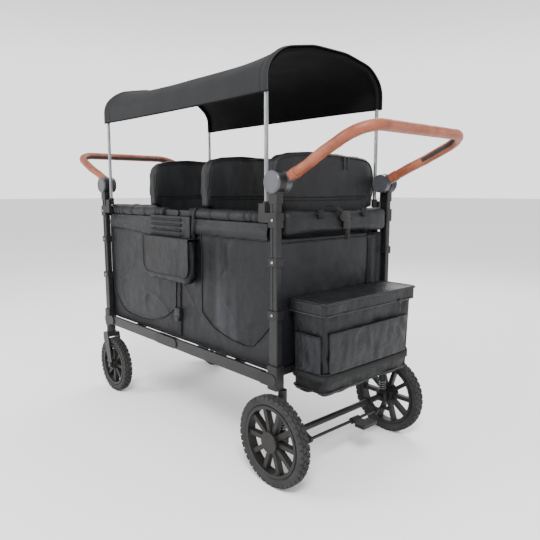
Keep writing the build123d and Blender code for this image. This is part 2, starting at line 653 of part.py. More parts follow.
def make_caster(side):
    """One swivel caster: fork with stem, axle bolt, rim and tyre."""
    hand = SIDES[side]
    y = hand * POST_Y
    z = CASTER_WHEEL_R
    arm_y = CASTER_WHEEL_WIDTH / 2 + FORK_GAP
    with BuildPart() as fork:
        upright(-POST_X, y, CROWN_Z[0], CROWN_Z[1], CASTER_HOUSING_R + 2)
        block((-POST_X - 20, -POST_X + 20), (y - arm_y - FORK_PLATE, y + arm_y + FORK_PLATE), CROWN_Z)
        upright(-POST_X, y, CROWN_Z[1], BRACKET_BOTTOM_Z - 4, CASTER_STEM_R)
        for face in (-1, 1):
            with BuildSketch(across(y + face * (arm_y + FORK_PLATE / 2))):
                with BuildLine():
                    Polyline((-POST_X - 20, CROWN_Z[1]), (-POST_X + 20, CROWN_Z[1]),
                             (CASTER_X + 15, z), (CASTER_X - 15, z), (-POST_X - 20, CROWN_Z[0] - 10),
                             close=True)
                make_face()
                with Locations((CASTER_X, z)):
                    Circle(15)
            extrude(amount=FORK_PLATE / 2, both=True)
        disc(CASTER_X, z, y - arm_y - FORK_PLATE, y + arm_y + FORK_PLATE, CASTER_AXLE_R, Mode.SUBTRACT)
    head_y = arm_y + FORK_PLATE
    with BuildPart() as bolt:
        disc(CASTER_X, z, y - head_y, y + head_y, CASTER_AXLE_R)
        disc(CASTER_X, z, y + head_y, y + head_y + 5, CASTER_AXLE_R + 4)
        disc(CASTER_X, z, y - head_y, y - head_y - 5, CASTER_AXLE_R + 4)
    keep(Compound(children=[fork.part, bolt.part]), f"caster_{side}_fork")
    make_rim(f"wheel_front_{side}_rim", CASTER_X, z, y, CASTER_WHEEL_WIDTH, CASTER_RIM_R,
             CASTER_AXLE_R + RUN_FIT, 8, (y - arm_y + 0.5, y + arm_y - 0.5))
    make_tyre(f"wheel_front_{side}_tyre", CASTER_X, z, y, CASTER_WHEEL_WIDTH, CASTER_WHEEL_R, CASTER_RIM_R)


def make_caster_housings():
    """The bearing housings under the front posts that the caster stems turn in."""
    housings = []
    for hand in SIDES.values():
        with BuildPart() as housing:
            upright(-POST_X, hand * POST_Y, CROWN_Z[1] + 2, BRACKET_BOTTOM_Z, CASTER_HOUSING_R)
            upright(-POST_X, hand * POST_Y, CROWN_Z[1] + 2, BRACKET_BOTTOM_Z - 2,
                    CASTER_STEM_R + RUN_FIT, Mode.SUBTRACT)
        housings.append(housing.part)
    keep(Compound(children=housings), "caster_housings")


# ---------------------------------------------------------------- rear axle, springs and brake
def make_rear_suspension():
    """Leg sleeves on the end frame, sprung carriers below them and the axle through both."""
    legs = []
    springs = []
    carriers = []
    for hand in SIDES.values():
        y = hand * LEG_Y
        with BuildPart() as leg:
            upright(AXLE_X, y, LEG_FOOT_Z, BRACKET_BOTTOM_Z, LEG_R)
            upright(AXLE_X, y, LEG_FOOT_Z, BRACKET_BOTTOM_Z - 8, PLUNGER_R + RUN_FIT, Mode.SUBTRACT)
        legs.append(leg.part)
        with BuildPart() as spring:
            upright(AXLE_X, y, PLUNGER_SHOULDER_Z + SOFT_GAP, LEG_FOOT_Z - SOFT_GAP,
                    PLUNGER_R + 0.6 + SPRING_WIRE)
            upright(AXLE_X, y, PLUNGER_SHOULDER_Z, LEG_FOOT_Z, PLUNGER_R + 0.6, Mode.SUBTRACT)
        springs.append(spring.part)
        with BuildPart() as carrier:
            block((AXLE_X - KNUCKLE[0] / 2, AXLE_X + KNUCKLE[0] / 2),
                  (y - KNUCKLE[1] / 2, y + KNUCKLE[1] / 2),
                  (AXLE_Z - KNUCKLE[2] / 2, AXLE_Z + KNUCKLE[2] / 2))
            upright(AXLE_X, y, AXLE_Z + KNUCKLE[2] / 2, PLUNGER_SHOULDER_Z, LEG_R)
            upright(AXLE_X, y, PLUNGER_SHOULDER_Z, LEG_FOOT_Z + 50, PLUNGER_R)
            disc(AXLE_X, AXLE_Z, y - KNUCKLE[1], y + KNUCKLE[1], AXLE_R, Mode.SUBTRACT)
        carriers.append(carrier.part)
    keep(Compound(children=legs), "suspension_sleeves")
    keep(Compound(children=springs), "suspension_springs")
    keep(Compound(children=carriers), "axle_carriers")
    shoulder = LEG_Y - KNUCKLE[1] / 2
    tip = REAR_WHEEL_Y + REAR_WHEEL_WIDTH / 2 - 2
    with BuildPart() as axle:
        disc(AXLE_X, AXLE_Z, -shoulder, shoulder, AXLE_BEAM_R)
        disc(AXLE_X, AXLE_Z, -tip, tip, AXLE_R)
    keep(axle.part, "rear_axle")


def make_brake():
    """The brake shaft with its two lock levers, the brackets that carry it and the pedal."""
    brackets = []
    for hand in SIDES.values():
        y = hand * BRAKE_BRACKET_Y
        with BuildPart() as bracket:
            disc(AXLE_X, AXLE_Z, y - 5, y + 5, AXLE_BEAM_R + 5)
            disc(BRAKE_X, BRAKE_Z, y - 5, y + 5, BRAKE_ROD_R + 5)
            with BuildSketch(across(y)):
                with BuildLine():
                    Polyline((AXLE_X, AXLE_Z + 8), (BRAKE_X, BRAKE_Z + 8), (BRAKE_X, BRAKE_Z - 8),
                             (AXLE_X, AXLE_Z - 8), close=True)
                make_face()
            extrude(amount=5, both=True)
            disc(AXLE_X, AXLE_Z, y - 5, y + 5, AXLE_BEAM_R, Mode.SUBTRACT)
            disc(BRAKE_X, BRAKE_Z, y - 5, y + 5, BRAKE_ROD_R + RUN_FIT, Mode.SUBTRACT)
        brackets.append(bracket.part)
    keep(Compound(children=brackets), "brake_brackets")
    with BuildPart() as rod:
        disc(BRAKE_X, BRAKE_Z, -BRAKE_HALF_WIDTH, BRAKE_HALF_WIDTH, BRAKE_ROD_R)
        for hand in SIDES.values():
            lever_y = (hand * (BRAKE_HALF_WIDTH - 12), hand * BRAKE_HALF_WIDTH)
            disc(BRAKE_X, BRAKE_Z, lever_y[0], lever_y[1], BRAKE_ROD_R + 4)
            block((BRAKE_X, BRAKE_X + 30), lever_y, (BRAKE_Z - 4, BRAKE_Z + 4))
    keep(rod.part, "brake_shaft")
    with BuildPart() as pedal:
        disc(BRAKE_X, BRAKE_Z, PEDAL_Y - 18, PEDAL_Y + 18, BRAKE_ROD_R + 5)
        block((BRAKE_X, BRAKE_X + 55), (PEDAL_Y - 18, PEDAL_Y + 18), (BRAKE_Z - 5, BRAKE_Z + 3))
        block((BRAKE_X + 25, BRAKE_X + 62), (PEDAL_Y - 34, PEDAL_Y + 34), (BRAKE_Z - 5, BRAKE_Z + 5))
        fillet(pedal.edges().filter_by(Axis.Z), 3)
        disc(BRAKE_X, BRAKE_Z, PEDAL_Y - 18, PEDAL_Y + 18, BRAKE_ROD_R, Mode.SUBTRACT)
    keep(pedal.part, "brake_pedal")


# ---------------------------------------------------------------- cabin fabric and seats
def make_side_walls():
    """The fabric walls between the posts, from the floor mat to the top rails."""
    half = POST_X - POST_LOWER[0] / 2 - COLLAR_WALL - 1
    walls = []
    for hand in SIDES.values():
        with BuildPart() as wall:
            block((-half, half), (hand * (WALL_Y - WALL_CLOTH / 2), hand * (WALL_Y + WALL_CLOTH / 2)),
                  (MAT_Z + MAT_THICKNESS, RAIL_Z - RAIL_WRAP_R - SOFT_GAP))
        walls.append(wall.part)
    keep(Compound(children=walls), "side_walls")


def make_floor_mat():
    """The soft floor that lies on the two floor cross tubes."""
    half_x = POST_X - POST_LOWER[0] / 2 - COLLAR_WALL - 1
    half_y = WALL_Y - WALL_CLOTH / 2 - SOFT_GAP
    with BuildPart() as mat:
        block((-half_x, half_x), (-half_y, half_y), (MAT_Z, MAT_Z + MAT_THICKNESS))
    keep(mat.part, "floor_mat")


def make_benches():
    """Three seat benches, each a sling between the side walls below its seat back."""
    half_y = WALL_Y - WALL_CLOTH / 2 - SOFT_GAP
    benches = []
    for face in BACK_REAR_FACES.values():
        with BuildPart() as bench:
            block((face - BENCH_DEPTH, face), (-half_y, half_y), (SEAT_Z - BENCH_THICKNESS, SEAT_Z))
        benches.append(bench.part)
    keep(Compound(children=benches), "seat_benches")


def make_seat_back(name):
    """A padded back: narrow between the rails, wider and rounded above them."""
    face = BACK_REAR_FACES[name]
    low = SEAT_Z + BACK_BOTTOM_GAP
    ledge = PAD_Z[1] + 2
    with BuildPart() as back:
        with BuildSketch(along(face - BACK_THICKNESS)):
            with Locations((0, (low + ledge + 20) / 2)):
                Rectangle(2 * BACK_NARROW, ledge + 20 - low)
            with BuildLine():
                head = [(BACK_HALF_WIDTH, ledge), (BACK_HALF_WIDTH - 4, ledge + 50),
                        (BACK_HALF_WIDTH - 42, BACK_TOP_Z - 24), (BACK_HALF_WIDTH / 2, BACK_TOP_Z - 4),
                        (0, BACK_TOP_Z)]
                right = Spline(*head)
                Line(right @ 0, (-BACK_HALF_WIDTH, ledge))
                Spline(*[(-y, z) for y, z in head])
            make_face()
        extrude(amount=BACK_THICKNESS)
    keep(back.part, f"seat_back_{name}")


def make_pouch():
    """The flat pouch that hangs on the outside of the left wall."""
    near = -(WALL_Y + WALL_CLOTH / 2 + SOFT_GAP)
    with BuildPart() as pouch:
        block(POUCH_X, (near - POUCH_DEPTH, near), POUCH_Z)
        fillet(pouch.edges().filter_by(Axis.Y), 20)
    keep(pouch.part, "side_pouch")


def make_storage_bag():
    """The open box bag on the rear end panel, and its lid hinged along the panel."""
    with BuildPart() as bag:
        block(BAG_X, (-BAG_HALF_WIDTH, BAG_HALF_WIDTH), BAG_Z)
        fillet(bag.edges().filter_by(Axis.Z).sort_by(Axis.X)[-2:], 18)
        block((BAG_X[0] + BAG_WALL, BAG_X[1] - BAG_WALL),
              (-BAG_HALF_WIDTH + BAG_WALL, BAG_HALF_WIDTH - BAG_WALL),
              (BAG_Z[0] + BAG_WALL, BAG_Z[1]), Mode.SUBTRACT)
    keep(bag.part, "storage_bag")
    with BuildPart() as lid:
        block((BAG_X[0] + BAG_WALL, BAG_X[1]), (-BAG_HALF_WIDTH, BAG_HALF_WIDTH),
              (BAG_Z[1] + SOFT_GAP, BAG_Z[1] + SOFT_GAP + LID_THICKNESS))
        fillet(lid.edges().filter_by(Axis.Z).sort_by(Axis.X)[-2:], 18)
    keep(lid.part, "bag_lid")


def make_strap_buckle():
    """The strap with a side-release buckle that ties the rear seat back to the rail pad."""
    x = POST_X + PAD_X / 2
    with BuildPart() as strap:
        block((x, x + 2), (-13, 13), (PAD_Z[0] + 4, PAD_Z[1] - 16))
        block((x + 2, x + 10), (-20, 20), (RAIL_Z - 14, RAIL_Z + 6))
    keep(strap.part, "seat_strap_buckle")


for end_name in ENDS:
    make_posts(end_name)
    make_collars(end_name)
    make_pivot_heads(end_name)
    make_cross_tubes(end_name)
    make_rivets(end_name)
    make_rail_pad(end_name)
    make_end_panel(end_name)
    make_top_rails(end_name)
    make_rail_wraps(end_name)
    make_handle(end_name)
    make_hoop(end_name)
for side_name in SIDES:
    make_rear_wheel(side_name)
    make_caster(side_name)
for back_name in BACK_REAR_FACES:
    make_seat_back(back_name)
make_floor_rear()
make_floor_front()
make_floor_hinges()
make_canopy()
make_caster_housings()
make_rear_suspension()
make_brake()
make_side_walls()
make_floor_mat()
make_benches()
make_pouch()
make_storage_bag()
make_strap_buckle()
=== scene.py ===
"""Looks of a folding canopy wagon: its cloth, padding, leather, tyres and trim, over the CAD frame.

X runs along the wagon (+X is the end with the storage bag and the big wheels), Y across it
(-Y is the left side) and Z up. Everything is in metres. Each sub-assembly is a class that
builds its own pieces and hangs them on the CAD bodies, so they follow the joints.
"""
from __future__ import annotations

import logging
from dataclasses import dataclass
from enum import Enum
from math import cos, pi, radians, sin
from typing import Callable, Iterable, Optional, Sequence

import bmesh
import bpy
from mathutils import Matrix, Vector, noise
from mathutils.bvhtree import BVHTree


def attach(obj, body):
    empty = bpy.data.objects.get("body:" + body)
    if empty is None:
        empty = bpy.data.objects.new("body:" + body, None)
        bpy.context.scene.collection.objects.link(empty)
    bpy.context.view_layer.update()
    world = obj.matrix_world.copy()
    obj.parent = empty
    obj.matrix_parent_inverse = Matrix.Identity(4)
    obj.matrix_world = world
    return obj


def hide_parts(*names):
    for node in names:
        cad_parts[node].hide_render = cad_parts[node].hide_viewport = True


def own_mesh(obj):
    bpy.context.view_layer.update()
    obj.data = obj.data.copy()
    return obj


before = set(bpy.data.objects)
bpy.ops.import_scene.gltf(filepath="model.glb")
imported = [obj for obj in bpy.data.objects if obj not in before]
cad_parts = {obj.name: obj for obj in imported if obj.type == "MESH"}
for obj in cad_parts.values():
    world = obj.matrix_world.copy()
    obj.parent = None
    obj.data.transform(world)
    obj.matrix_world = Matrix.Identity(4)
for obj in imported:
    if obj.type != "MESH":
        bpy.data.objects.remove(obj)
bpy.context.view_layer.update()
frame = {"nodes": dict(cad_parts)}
LOG = logging.getLogger("wagon")

Triple = tuple[float, float, float]
Colour = Triple
Place = Callable[[float, float], Vector]


class Side(Enum):
    """The two long sides of the wagon, as the sign of Y."""

    LEFT = -1
    RIGHT = 1


class End(Enum):
    """The two ends of the wagon, as the sign of X."""

    REAR = 1
    FRONT = -1

    @property
    def word(self) -> str:
        """The end's name as the CAD nodes spell it."""
        return self.name.lower()


class Held(Enum):
    """How a sheet of cloth is held."""

    STRETCHED = "stretched"
    HUNG = "hung"
    GATHERED = "gathered"


# ---------------------------------------------------------------- finishes
class Shader:
    """A Principled material while it is being wired up."""

    def __init__(self, name: str, colour: Colour, roughness: float, metallic: float = 0.0,
                 shine: float = 0.5) -> None:
        """Start a material.

        Args:
            name: the material's name.
            colour: its linear base colour.
            roughness: its base roughness.
            metallic: 1 for bare metal.
            shine: how strongly it mirrors, 0.5 being ordinary plastic.
        """
        self.material = bpy.data.materials.new(name)
        self.material.use_nodes = True
        self.material.diffuse_color = (*colour, 1.0)
        self.tree = self.material.node_tree
        self.surface = self.tree.nodes["Principled BSDF"]
        self.surface.inputs["Base Color"].default_value = (*colour, 1.0)
        self.surface.inputs["Roughness"].default_value = roughness
        self.surface.inputs["Metallic"].default_value = metallic
        self.surface.inputs["Specular IOR Level"].default_value = shine
        self.normal: Optional[bpy.types.NodeSocket] = None

    def add(self, kind: str, **sockets: object) -> bpy.types.Node:
        """Add a node and set its input values by socket name.

        Args:
            kind: the type of node.
            sockets: input values by name, with _ for a space.

        Returns:
            The node.
        """
        node = self.tree.nodes.new(kind)
        for name, value in sockets.items():
            node.inputs[name.replace("_", " ")].default_value = value
        return node

    def link(self, source: bpy.types.NodeSocket, target: bpy.types.NodeSocket) -> None:
        """Join two sockets."""
        self.tree.links.new(source, target)

    def place(self, stretch: Triple = (1.0, 1.0, 1.0)) -> bpy.types.NodeSocket:
        """Object coordinates, stretched along each axis.

        Args:
            stretch: the factor along each axis.

        Returns:
            The vector socket.
        """
        coords = self.add("ShaderNodeTexCoord")
        mapping = self.add("ShaderNodeMapping", Scale=stretch)
        self.link(coords.outputs["Object"], mapping.inputs["Vector"])
        return mapping.outputs["Vector"]

    def noise(self, scale: float, detail: float = 3.0,
              stretch: Triple = (1.0, 1.0, 1.0)) -> bpy.types.NodeSocket:
        """A noise pattern from 0 to 1.

        Args:
            scale: how many patches fit in a metre.
            detail: octaves of finer noise.
            stretch: squeezes the pattern along each axis.

        Returns:
            The factor socket.
        """
        node = self.add("ShaderNodeTexNoise", Scale=scale, Detail=detail)
        self.link(self.place(stretch), node.inputs["Vector"])
        return node.outputs["Fac"]

    def bands(self, direction: str, period: float) -> bpy.types.NodeSocket:
        """Parallel bands across one axis, one every period metres.

        Args:
            direction: the axis that crosses them, X, Y or Z.
            period: the distance from one to the next.

        Returns:
            The factor socket.
        """
        node = self.add("ShaderNodeTexWave", Scale=0.314 / period)
        node.bands_direction = direction
        self.link(self.place(), node.inputs["Vector"])
        return node.outputs["Fac"]

    def join(self, first: bpy.types.NodeSocket, second: bpy.types.NodeSocket,
             how: str) -> bpy.types.NodeSocket:
        """Combine two values with a Math operation.

        Args:
            first: one value.
            second: the other.
            how: the operation, as the Math node spells it.

        Returns:
            The result socket.
        """
        node = self.add("ShaderNodeMath")
        node.operation = how
        self.link(first, node.inputs[0])
        self.link(second, node.inputs[1])
        return node.outputs[0]

    def tint(self, factor: bpy.types.NodeSocket, low: Colour, high: Colour,
             span: tuple[float, float]) -> None:
        """Vary the base colour from low to high as the factor crosses the span.

        Args:
            factor: the pattern.
            low: the colour below the span.
            high: the colour above it.
            span: the factors that the change lies between.
        """
        ramp = self.add("ShaderNodeValToRGB")
        ramp.color_ramp.elements[0].position = span[0]
        ramp.color_ramp.elements[0].color = (*low, 1.0)
        ramp.color_ramp.elements[1].position = span[1]
        ramp.color_ramp.elements[1].color = (*high, 1.0)
        self.link(factor, ramp.inputs["Fac"])
        self.link(ramp.outputs["Color"], self.surface.inputs["Base Color"])

    def rough(self, factor: bpy.types.NodeSocket, low: float, high: float) -> None:
        """Vary the roughness between two values with the factor.

        Args:
            factor: the pattern.
            low: the roughness where it is 0.
            high: the roughness where it is 1.
        """
        span = self.add("ShaderNodeMapRange", To_Min=low, To_Max=high)
        self.link(factor, span.inputs["Value"])
        self.link(span.outputs["Result"], self.surface.inputs["Roughness"])

    def bump(self, height: bpy.types.NodeSocket, depth: float, strength: float) -> None:
        """Add relief on top of any relief that is already there.

        Args:
            height: the pattern.
            depth: its height in metres.
            strength: how much of it shows.
        """
        node = self.add("ShaderNodeBump", Strength=strength, Distance=depth)
        self.link(height, node.inputs["Height"])
        if self.normal is not None:
            self.link(self.normal, node.inputs["Normal"])
        self.normal = node.outputs["Normal"]
        self.link(self.normal, self.surface.inputs["Normal"])


@dataclass(frozen=True)
class WovenCloth:
    """Plain-woven polyester: crossed threads and soft creases."""

    name: str
    colour: Colour
    sheen_and_mottle: Colour
    thread: float = 0.0016
    crease: float = 0.55
    crease_scale: float = 11.0
    crease_stretch: Triple = (1.0, 1.0, 0.6)
    roughness: float = 0.40
    shine: float = 0.20

    def material(self) -> bpy.types.Material:
        """Build the cloth."""
        shader = Shader(self.name, self.colour, self.roughness, shine=self.shine)
        creases = shader.noise(self.crease_scale, 4.0, self.crease_stretch)
        threads = shader.join(shader.bands("X", self.thread), shader.bands("Z", self.thread), "ADD")
        threads = shader.join(threads, shader.bands("Y", self.thread), "ADD")
        # painted shade and highlight: the colour follows the crease relief, darker in its hollows and lighter
        # on its crests
        shader.tint(creases, self.colour, self.sheen_and_mottle, (0.35, 0.72))
        shader.rough(shader.noise(self.crease_scale * 3, 2.0), self.roughness - 0.1, self.roughness + 0.1)
        shader.bump(creases, 0.012, self.crease)
        shader.bump(threads, 0.00025, 0.5)
        return shader.material


@dataclass(frozen=True)
class MeshCloth:
    """Open mesh: a fine dark net with faint upright streaks where it catches light."""

    name: str = "window mesh"
    colour: Colour = (0.0050, 0.0053, 0.0062)
    streak: Colour = (0.0330, 0.0345, 0.0390)
    cell: float = 0.0022

    def material(self) -> bpy.types.Material:
        """Build the mesh cloth."""
        shader = Shader(self.name, self.colour, 0.5, shine=0.2)
        streaks = shader.noise(9.0, 2.0, (1.0, 1.0, 0.12))
        net = shader.join(shader.bands("X", self.cell), shader.bands("Z", self.cell), "MULTIPLY")
        shader.tint(streaks, self.colour, self.streak, (0.52, 0.70))
        shader.bump(streaks, 0.010, 0.5)
        shader.bump(net, 0.0004, 0.8)
        return shader.material


@dataclass(frozen=True)
class Webbing:
    """Ribbed strap webbing."""

    name: str = "strap webbing"
    colour: Colour = (0.0050, 0.0050, 0.0054)
    rib: float = 0.0018

    def material(self) -> bpy.types.Material:
        """Build the webbing."""
        shader = Shader(self.name, self.colour, 0.6, shine=0.2)
        ribs = shader.join(shader.bands("X", self.rib), shader.bands("Z", self.rib), "ADD")
        shader.tint(shader.noise(60.0), self.colour, (0.0100, 0.0100, 0.0108), (0.3, 0.8))
        shader.bump(ribs, 0.0004, 0.7)
        return shader.material


@dataclass(frozen=True)
class Leather:
    """Cognac leather with a pebbled grain and a tone that varies in soft patches."""

    name: str = "cognac leather"
    colour: Colour = (0.165, 0.044, 0.021)
    light: Colour = (0.275, 0.086, 0.044)

    def material(self) -> bpy.types.Material:
        """Build the leather."""
        shader = Shader(self.name, self.colour, 0.42, shine=0.3)
        grain = shader.add("ShaderNodeTexVoronoi", Scale=620.0)
        shader.link(shader.place(), grain.inputs["Vector"])
        shader.tint(shader.noise(22.0, 5.0), self.colour, self.light, (0.30, 0.66))
        shader.rough(shader.noise(40.0, 3.0), 0.34, 0.52)
        shader.bump(shader.noise(30.0, 3.0), 0.002, 0.35)
        shader.bump(grain.outputs["Distance"], 0.0004, 0.45)
        return shader.material


@dataclass(frozen=True)
class Hard:
    """A hard finish with a fine surface texture and slight variation in colour and gloss.

    Powder coat, moulded plastic and rubber differ only in these values.
    """

    name: str
    colour: Colour
    sheen_and_mottle: Colour
    roughness: float
    grain: float = 900.0
    depth: float = 0.0002
    metallic: float = 0.0
    coat: float = 0.0
    shine: float = 0.25

    def material(self) -> bpy.types.Material:
        """Build the finish."""
        shader = Shader(self.name, self.colour, self.roughness, self.metallic, self.shine)
        shader.surface.inputs["Coat Weight"].default_value = self.coat
        shader.surface.inputs["Coat Roughness"].default_value = 0.3
        shader.tint(shader.noise(26.0, 5.0), self.colour, self.sheen_and_mottle, (0.35, 0.75))
        shader.rough(shader.noise(60.0, 3.0), self.roughness - 0.06, self.roughness + 0.08)
        shader.bump(shader.noise(self.grain, 2.0), self.depth, 0.45)
        return shader.material


@dataclass(frozen=True)
class BrushedTube:
    """Grey satin tube with fine marks around it."""

    name: str = "hoop steel"
    colour: Colour = (0.17, 0.175, 0.185)

    def material(self) -> bpy.types.Material:
        """Build the metal."""
        shader = Shader(self.name, self.colour, 0.34, 0.85)
        marks = shader.noise(240.0, 2.0, (1.0, 1.0, 0.08))
        shader.tint(marks, self.colour, (0.26, 0.27, 0.28), (0.3, 0.8))
        shader.bump(marks, 0.0002, 0.3)
        return shader.material


class Kit:
    """Every material of the wagon, made once."""

    cloth = WovenCloth("charcoal cloth", (0.0040, 0.0042, 0.0050), (0.0085, 0.0090, 0.0108),
                       crease=0.8).material()
    panel = WovenCloth("panel cloth", (0.0050, 0.0053, 0.0066), (0.0125, 0.0132, 0.0160), crease=0.6,
                       crease_scale=6.0).material()
    gather = WovenCloth("gathered cloth", (0.0072, 0.0076, 0.0090), (0.0150, 0.0158, 0.0185), crease=0.9,
                        crease_scale=26.0, crease_stretch=(1.6, 1.0, 0.7)).material()
    bag = WovenCloth("bag cloth", (0.0050, 0.0053, 0.0060), (0.0110, 0.0116, 0.0130), crease=1.0,
                     crease_scale=15.0).material()
    canopy = WovenCloth("canopy cloth", (0.0105, 0.0110, 0.0120), (0.0135, 0.0140, 0.0152), crease=0.12,
                        crease_scale=4.0, roughness=0.7).material()
    lining = WovenCloth("canopy lining", (0.0035, 0.0035, 0.0038), (0.0050, 0.0050, 0.0055), crease=0.15,
                        crease_scale=5.0, roughness=0.8, shine=0.08).material()
    seat = WovenCloth("seat cloth", (0.0058, 0.0061, 0.0070), (0.0110, 0.0116, 0.0134), crease=0.5,
                      crease_scale=9.0).material()
    piping = WovenCloth("piping", (0.0145, 0.0150, 0.0165), (0.0200, 0.0210, 0.0230), thread=0.0012,
                        crease=0.1).material()
    dark_piping = WovenCloth("dark piping", (0.0048, 0.0048, 0.0052), (0.0090, 0.0090, 0.0100), thread=0.0012,
                             crease=0.1).material()
    mesh = MeshCloth().material()
    webbing = Webbing().material()
    leather = Leather().material()
    grip_strip = Hard("grip strip", (0.016, 0.016, 0.018), (0.026, 0.026, 0.029), 0.7,
                      depth=0.0004).material()
    frame = Hard("frame powder coat", (0.0070, 0.0070, 0.0076), (0.0120, 0.0120, 0.0130), 0.38,
                 coat=0.05).material()
    plastic = Hard("moulded plastic", (0.0075, 0.0075, 0.0080), (0.0125, 0.0125, 0.0135), 0.42).material()
    hub = Hard("hub plastic", (0.040, 0.042, 0.048), (0.058, 0.060, 0.068), 0.34, shine=0.45).material()
    rim = Hard("rim plastic", (0.0095, 0.0088, 0.0082), (0.0150, 0.0140, 0.0130), 0.48).material()
    rubber = Hard("tyre rubber", (0.0150, 0.0150, 0.0155), (0.0260, 0.0260, 0.0270), 0.72, grain=500.0,
                  depth=0.0006).material()
    rivet = Hard("rivet steel", (0.30, 0.30, 0.31), (0.42, 0.42, 0.43), 0.35, metallic=0.9).material()
    zip = Hard("zip teeth", (0.0080, 0.0080, 0.0085), (0.0180, 0.0180, 0.0195), 0.35).material()
    tube = BrushedTube().material()


# ---------------------------------------------------------------- mesh tools
def to_object(bm: bmesh.types.BMesh, name: str, material: bpy.types.Material, body: str,
              smooth: bool = True, outward: Optional[Vector] = None) -> bpy.types.Object:
    """Turn a bmesh into a piece that rides on a CAD body.

    Args:
        bm: the mesh, which is freed.
        name: the piece's name.
        material: its finish.
        body: the CAD body it rides on.
        smooth: whether its faces are shaded smooth.
        outward: for an open sheet, the way its faces should look on average.

    Returns:
        The new object.
    """
    if outward is not None:
        total = sum((face.normal * face.calc_area() for face in bm.faces), Vector())
        if total.dot(outward) < 0:
            bmesh.ops.reverse_faces(bm, faces=bm.faces)
    for face in bm.faces:
        face.smooth = smooth
    mesh = bpy.data.meshes.new(name)
    bm.to_mesh(mesh)
    bm.free()
    mesh.materials.append(material)
    piece = bpy.data.objects.new(name, mesh)
    bpy.context.scene.collection.objects.link(piece)
    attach(piece, body)
    return piece


def baked(piece: bpy.types.Object) -> bmesh.types.BMesh:
    """The piece with its modifiers applied, as a new bmesh.

    Args:
        piece: the object to evaluate, which stays as it is.

    Returns:
        The evaluated mesh.
    """
    bpy.context.view_layer.update()
    graph = bpy.context.evaluated_depsgraph_get()
    mesh = bpy.data.meshes.new_from_object(piece.evaluated_get(graph))
    bm = bmesh.new()
    bm.from_mesh(mesh)
    bpy.data.meshes.remove(mesh)
    return bm


def discard(piece: bpy.types.Object) -> None:
    """Remove a helper object."""
    bpy.data.objects.remove(piece, do_unlink=True)


def solidify(piece: bpy.types.Object, thickness: float, offset: float = -1.0,
             inside: int = 0) -> bpy.types.Object:
    """Give a sheet its thickness, with another material slot inside if asked.

    Args:
        piece: the sheet.
        thickness: how thick it gets.
        offset: -1 to grow inwards, 0 to both sides.
        inside: how many slots further on the inner side's material is.

    Returns:
        The same piece.
    """
    modifier = piece.modifiers.new("thickness", "SOLIDIFY")
    modifier.thickness = thickness
    modifier.offset = offset
    modifier.material_offset = inside
    return piece


def cloth_grid(columns: int, rows: int, place: Place) -> bmesh.types.BMesh:
    """A grid whose corners run from (0, 0) to (1, 1), moved to where place puts each point.

    Args:
        columns: divisions along the first value.
        rows: divisions along the second.
        place: gives each corner its point.

    Returns:
        The mesh.
    """
    bm = bmesh.new()
    bmesh.ops.create_grid(bm, x_segments=columns, y_segments=rows, size=0.5)
    for vert in bm.verts:
        vert.co = place(vert.co.x + 0.5, vert.co.y + 0.5)
    bm.normal_update()
    return bm


def block(low: Vector, high: Vector, rounding: float, segments: int = 3) -> bmesh.types.BMesh:
    """A rounded box between two corners.

    Args:
        low: its lowest corner.
        high: its highest corner.
        rounding: the radius of its edges.
        segments: faces across each rounded edge.

    Returns:
        The mesh.
    """
    bm = bmesh.new()
    bmesh.ops.create_cube(bm, size=1.0)
    size = high - low
    bmesh.ops.scale(bm, vec=size, verts=bm.verts)
    bmesh.ops.translate(bm, vec=(low + high) / 2, verts=bm.verts)
    bmesh.ops.bevel(bm, geom=bm.edges, offset=rounding, segments=segments, profile=0.5, affect="EDGES",
                    material=-1)
    return bm


def cord_mesh(points: Sequence[Vector], radius: float, closed: bool = False,
              smooth: bool = True) -> bmesh.types.BMesh:
    """A round cord along a smooth curve, or a straight-sided line, through the points.

    Args:
        points: where it runs.
        radius: half its thickness.
        closed: whether it joins up.
        smooth: whether its corners are rounded.

    Returns:
        The mesh.
    """
    curve = bpy.data.curves.new("cord", "CURVE")
    curve.dimensions = "3D"
    curve.bevel_depth = radius
    curve.bevel_resolution = 3
    curve.use_fill_caps = True
    spline = curve.splines.new("NURBS" if smooth else "POLY")
    spline.points.add(len(points) - 1)
    for knot, point in zip(spline.points, points):
        knot.co = (*point, 1.0)
    if smooth:
        spline.order_u = 3
        spline.use_endpoint_u = not closed
        spline.resolution_u = 4
    spline.use_cyclic_u = closed
    helper = bpy.data.objects.new("cord", curve)
    bpy.context.scene.collection.objects.link(helper)
    bm = baked(helper)
    discard(helper)
    return bm


def ripple(point: Vector, scale: float, seed: float = 0.0) -> float:
    """Smooth noise from about -1 to 1 at a place."""
    return noise.noise(point * scale + Vector((seed, seed * 1.7, seed * 0.3)))


def span(low: float, high: float, count: int) -> list[float]:
    """Evenly spaced values from low to high."""
    return [low + (high - low) * step / (count - 1) for step in range(count)]


def strap(points: Sequence[Vector], width: float, thickness: float, across: Vector) -> bmesh.types.BMesh:
    """A flat strap along the points, with its width laid along the given direction.

    Args:
        points: its centreline.
        width: how wide it is.
        thickness: how thick it is.
        across: the direction of its width.

    Returns:
        The mesh.
    """
    bm = bmesh.new()
    half = across.normalized() * width / 2
    rows = [[bm.verts.new(point - half), bm.verts.new(point + half)] for point in points]
    for first, second in zip(rows, rows[1:]):
        bm.faces.new((first[0], first[1], second[1], second[0]))
    bm.normal_update()
    bmesh.ops.solidify(bm, geom=bm.faces[:], thickness=thickness)
    bmesh.ops.recalc_face_normals(bm, faces=bm.faces)
    return bm


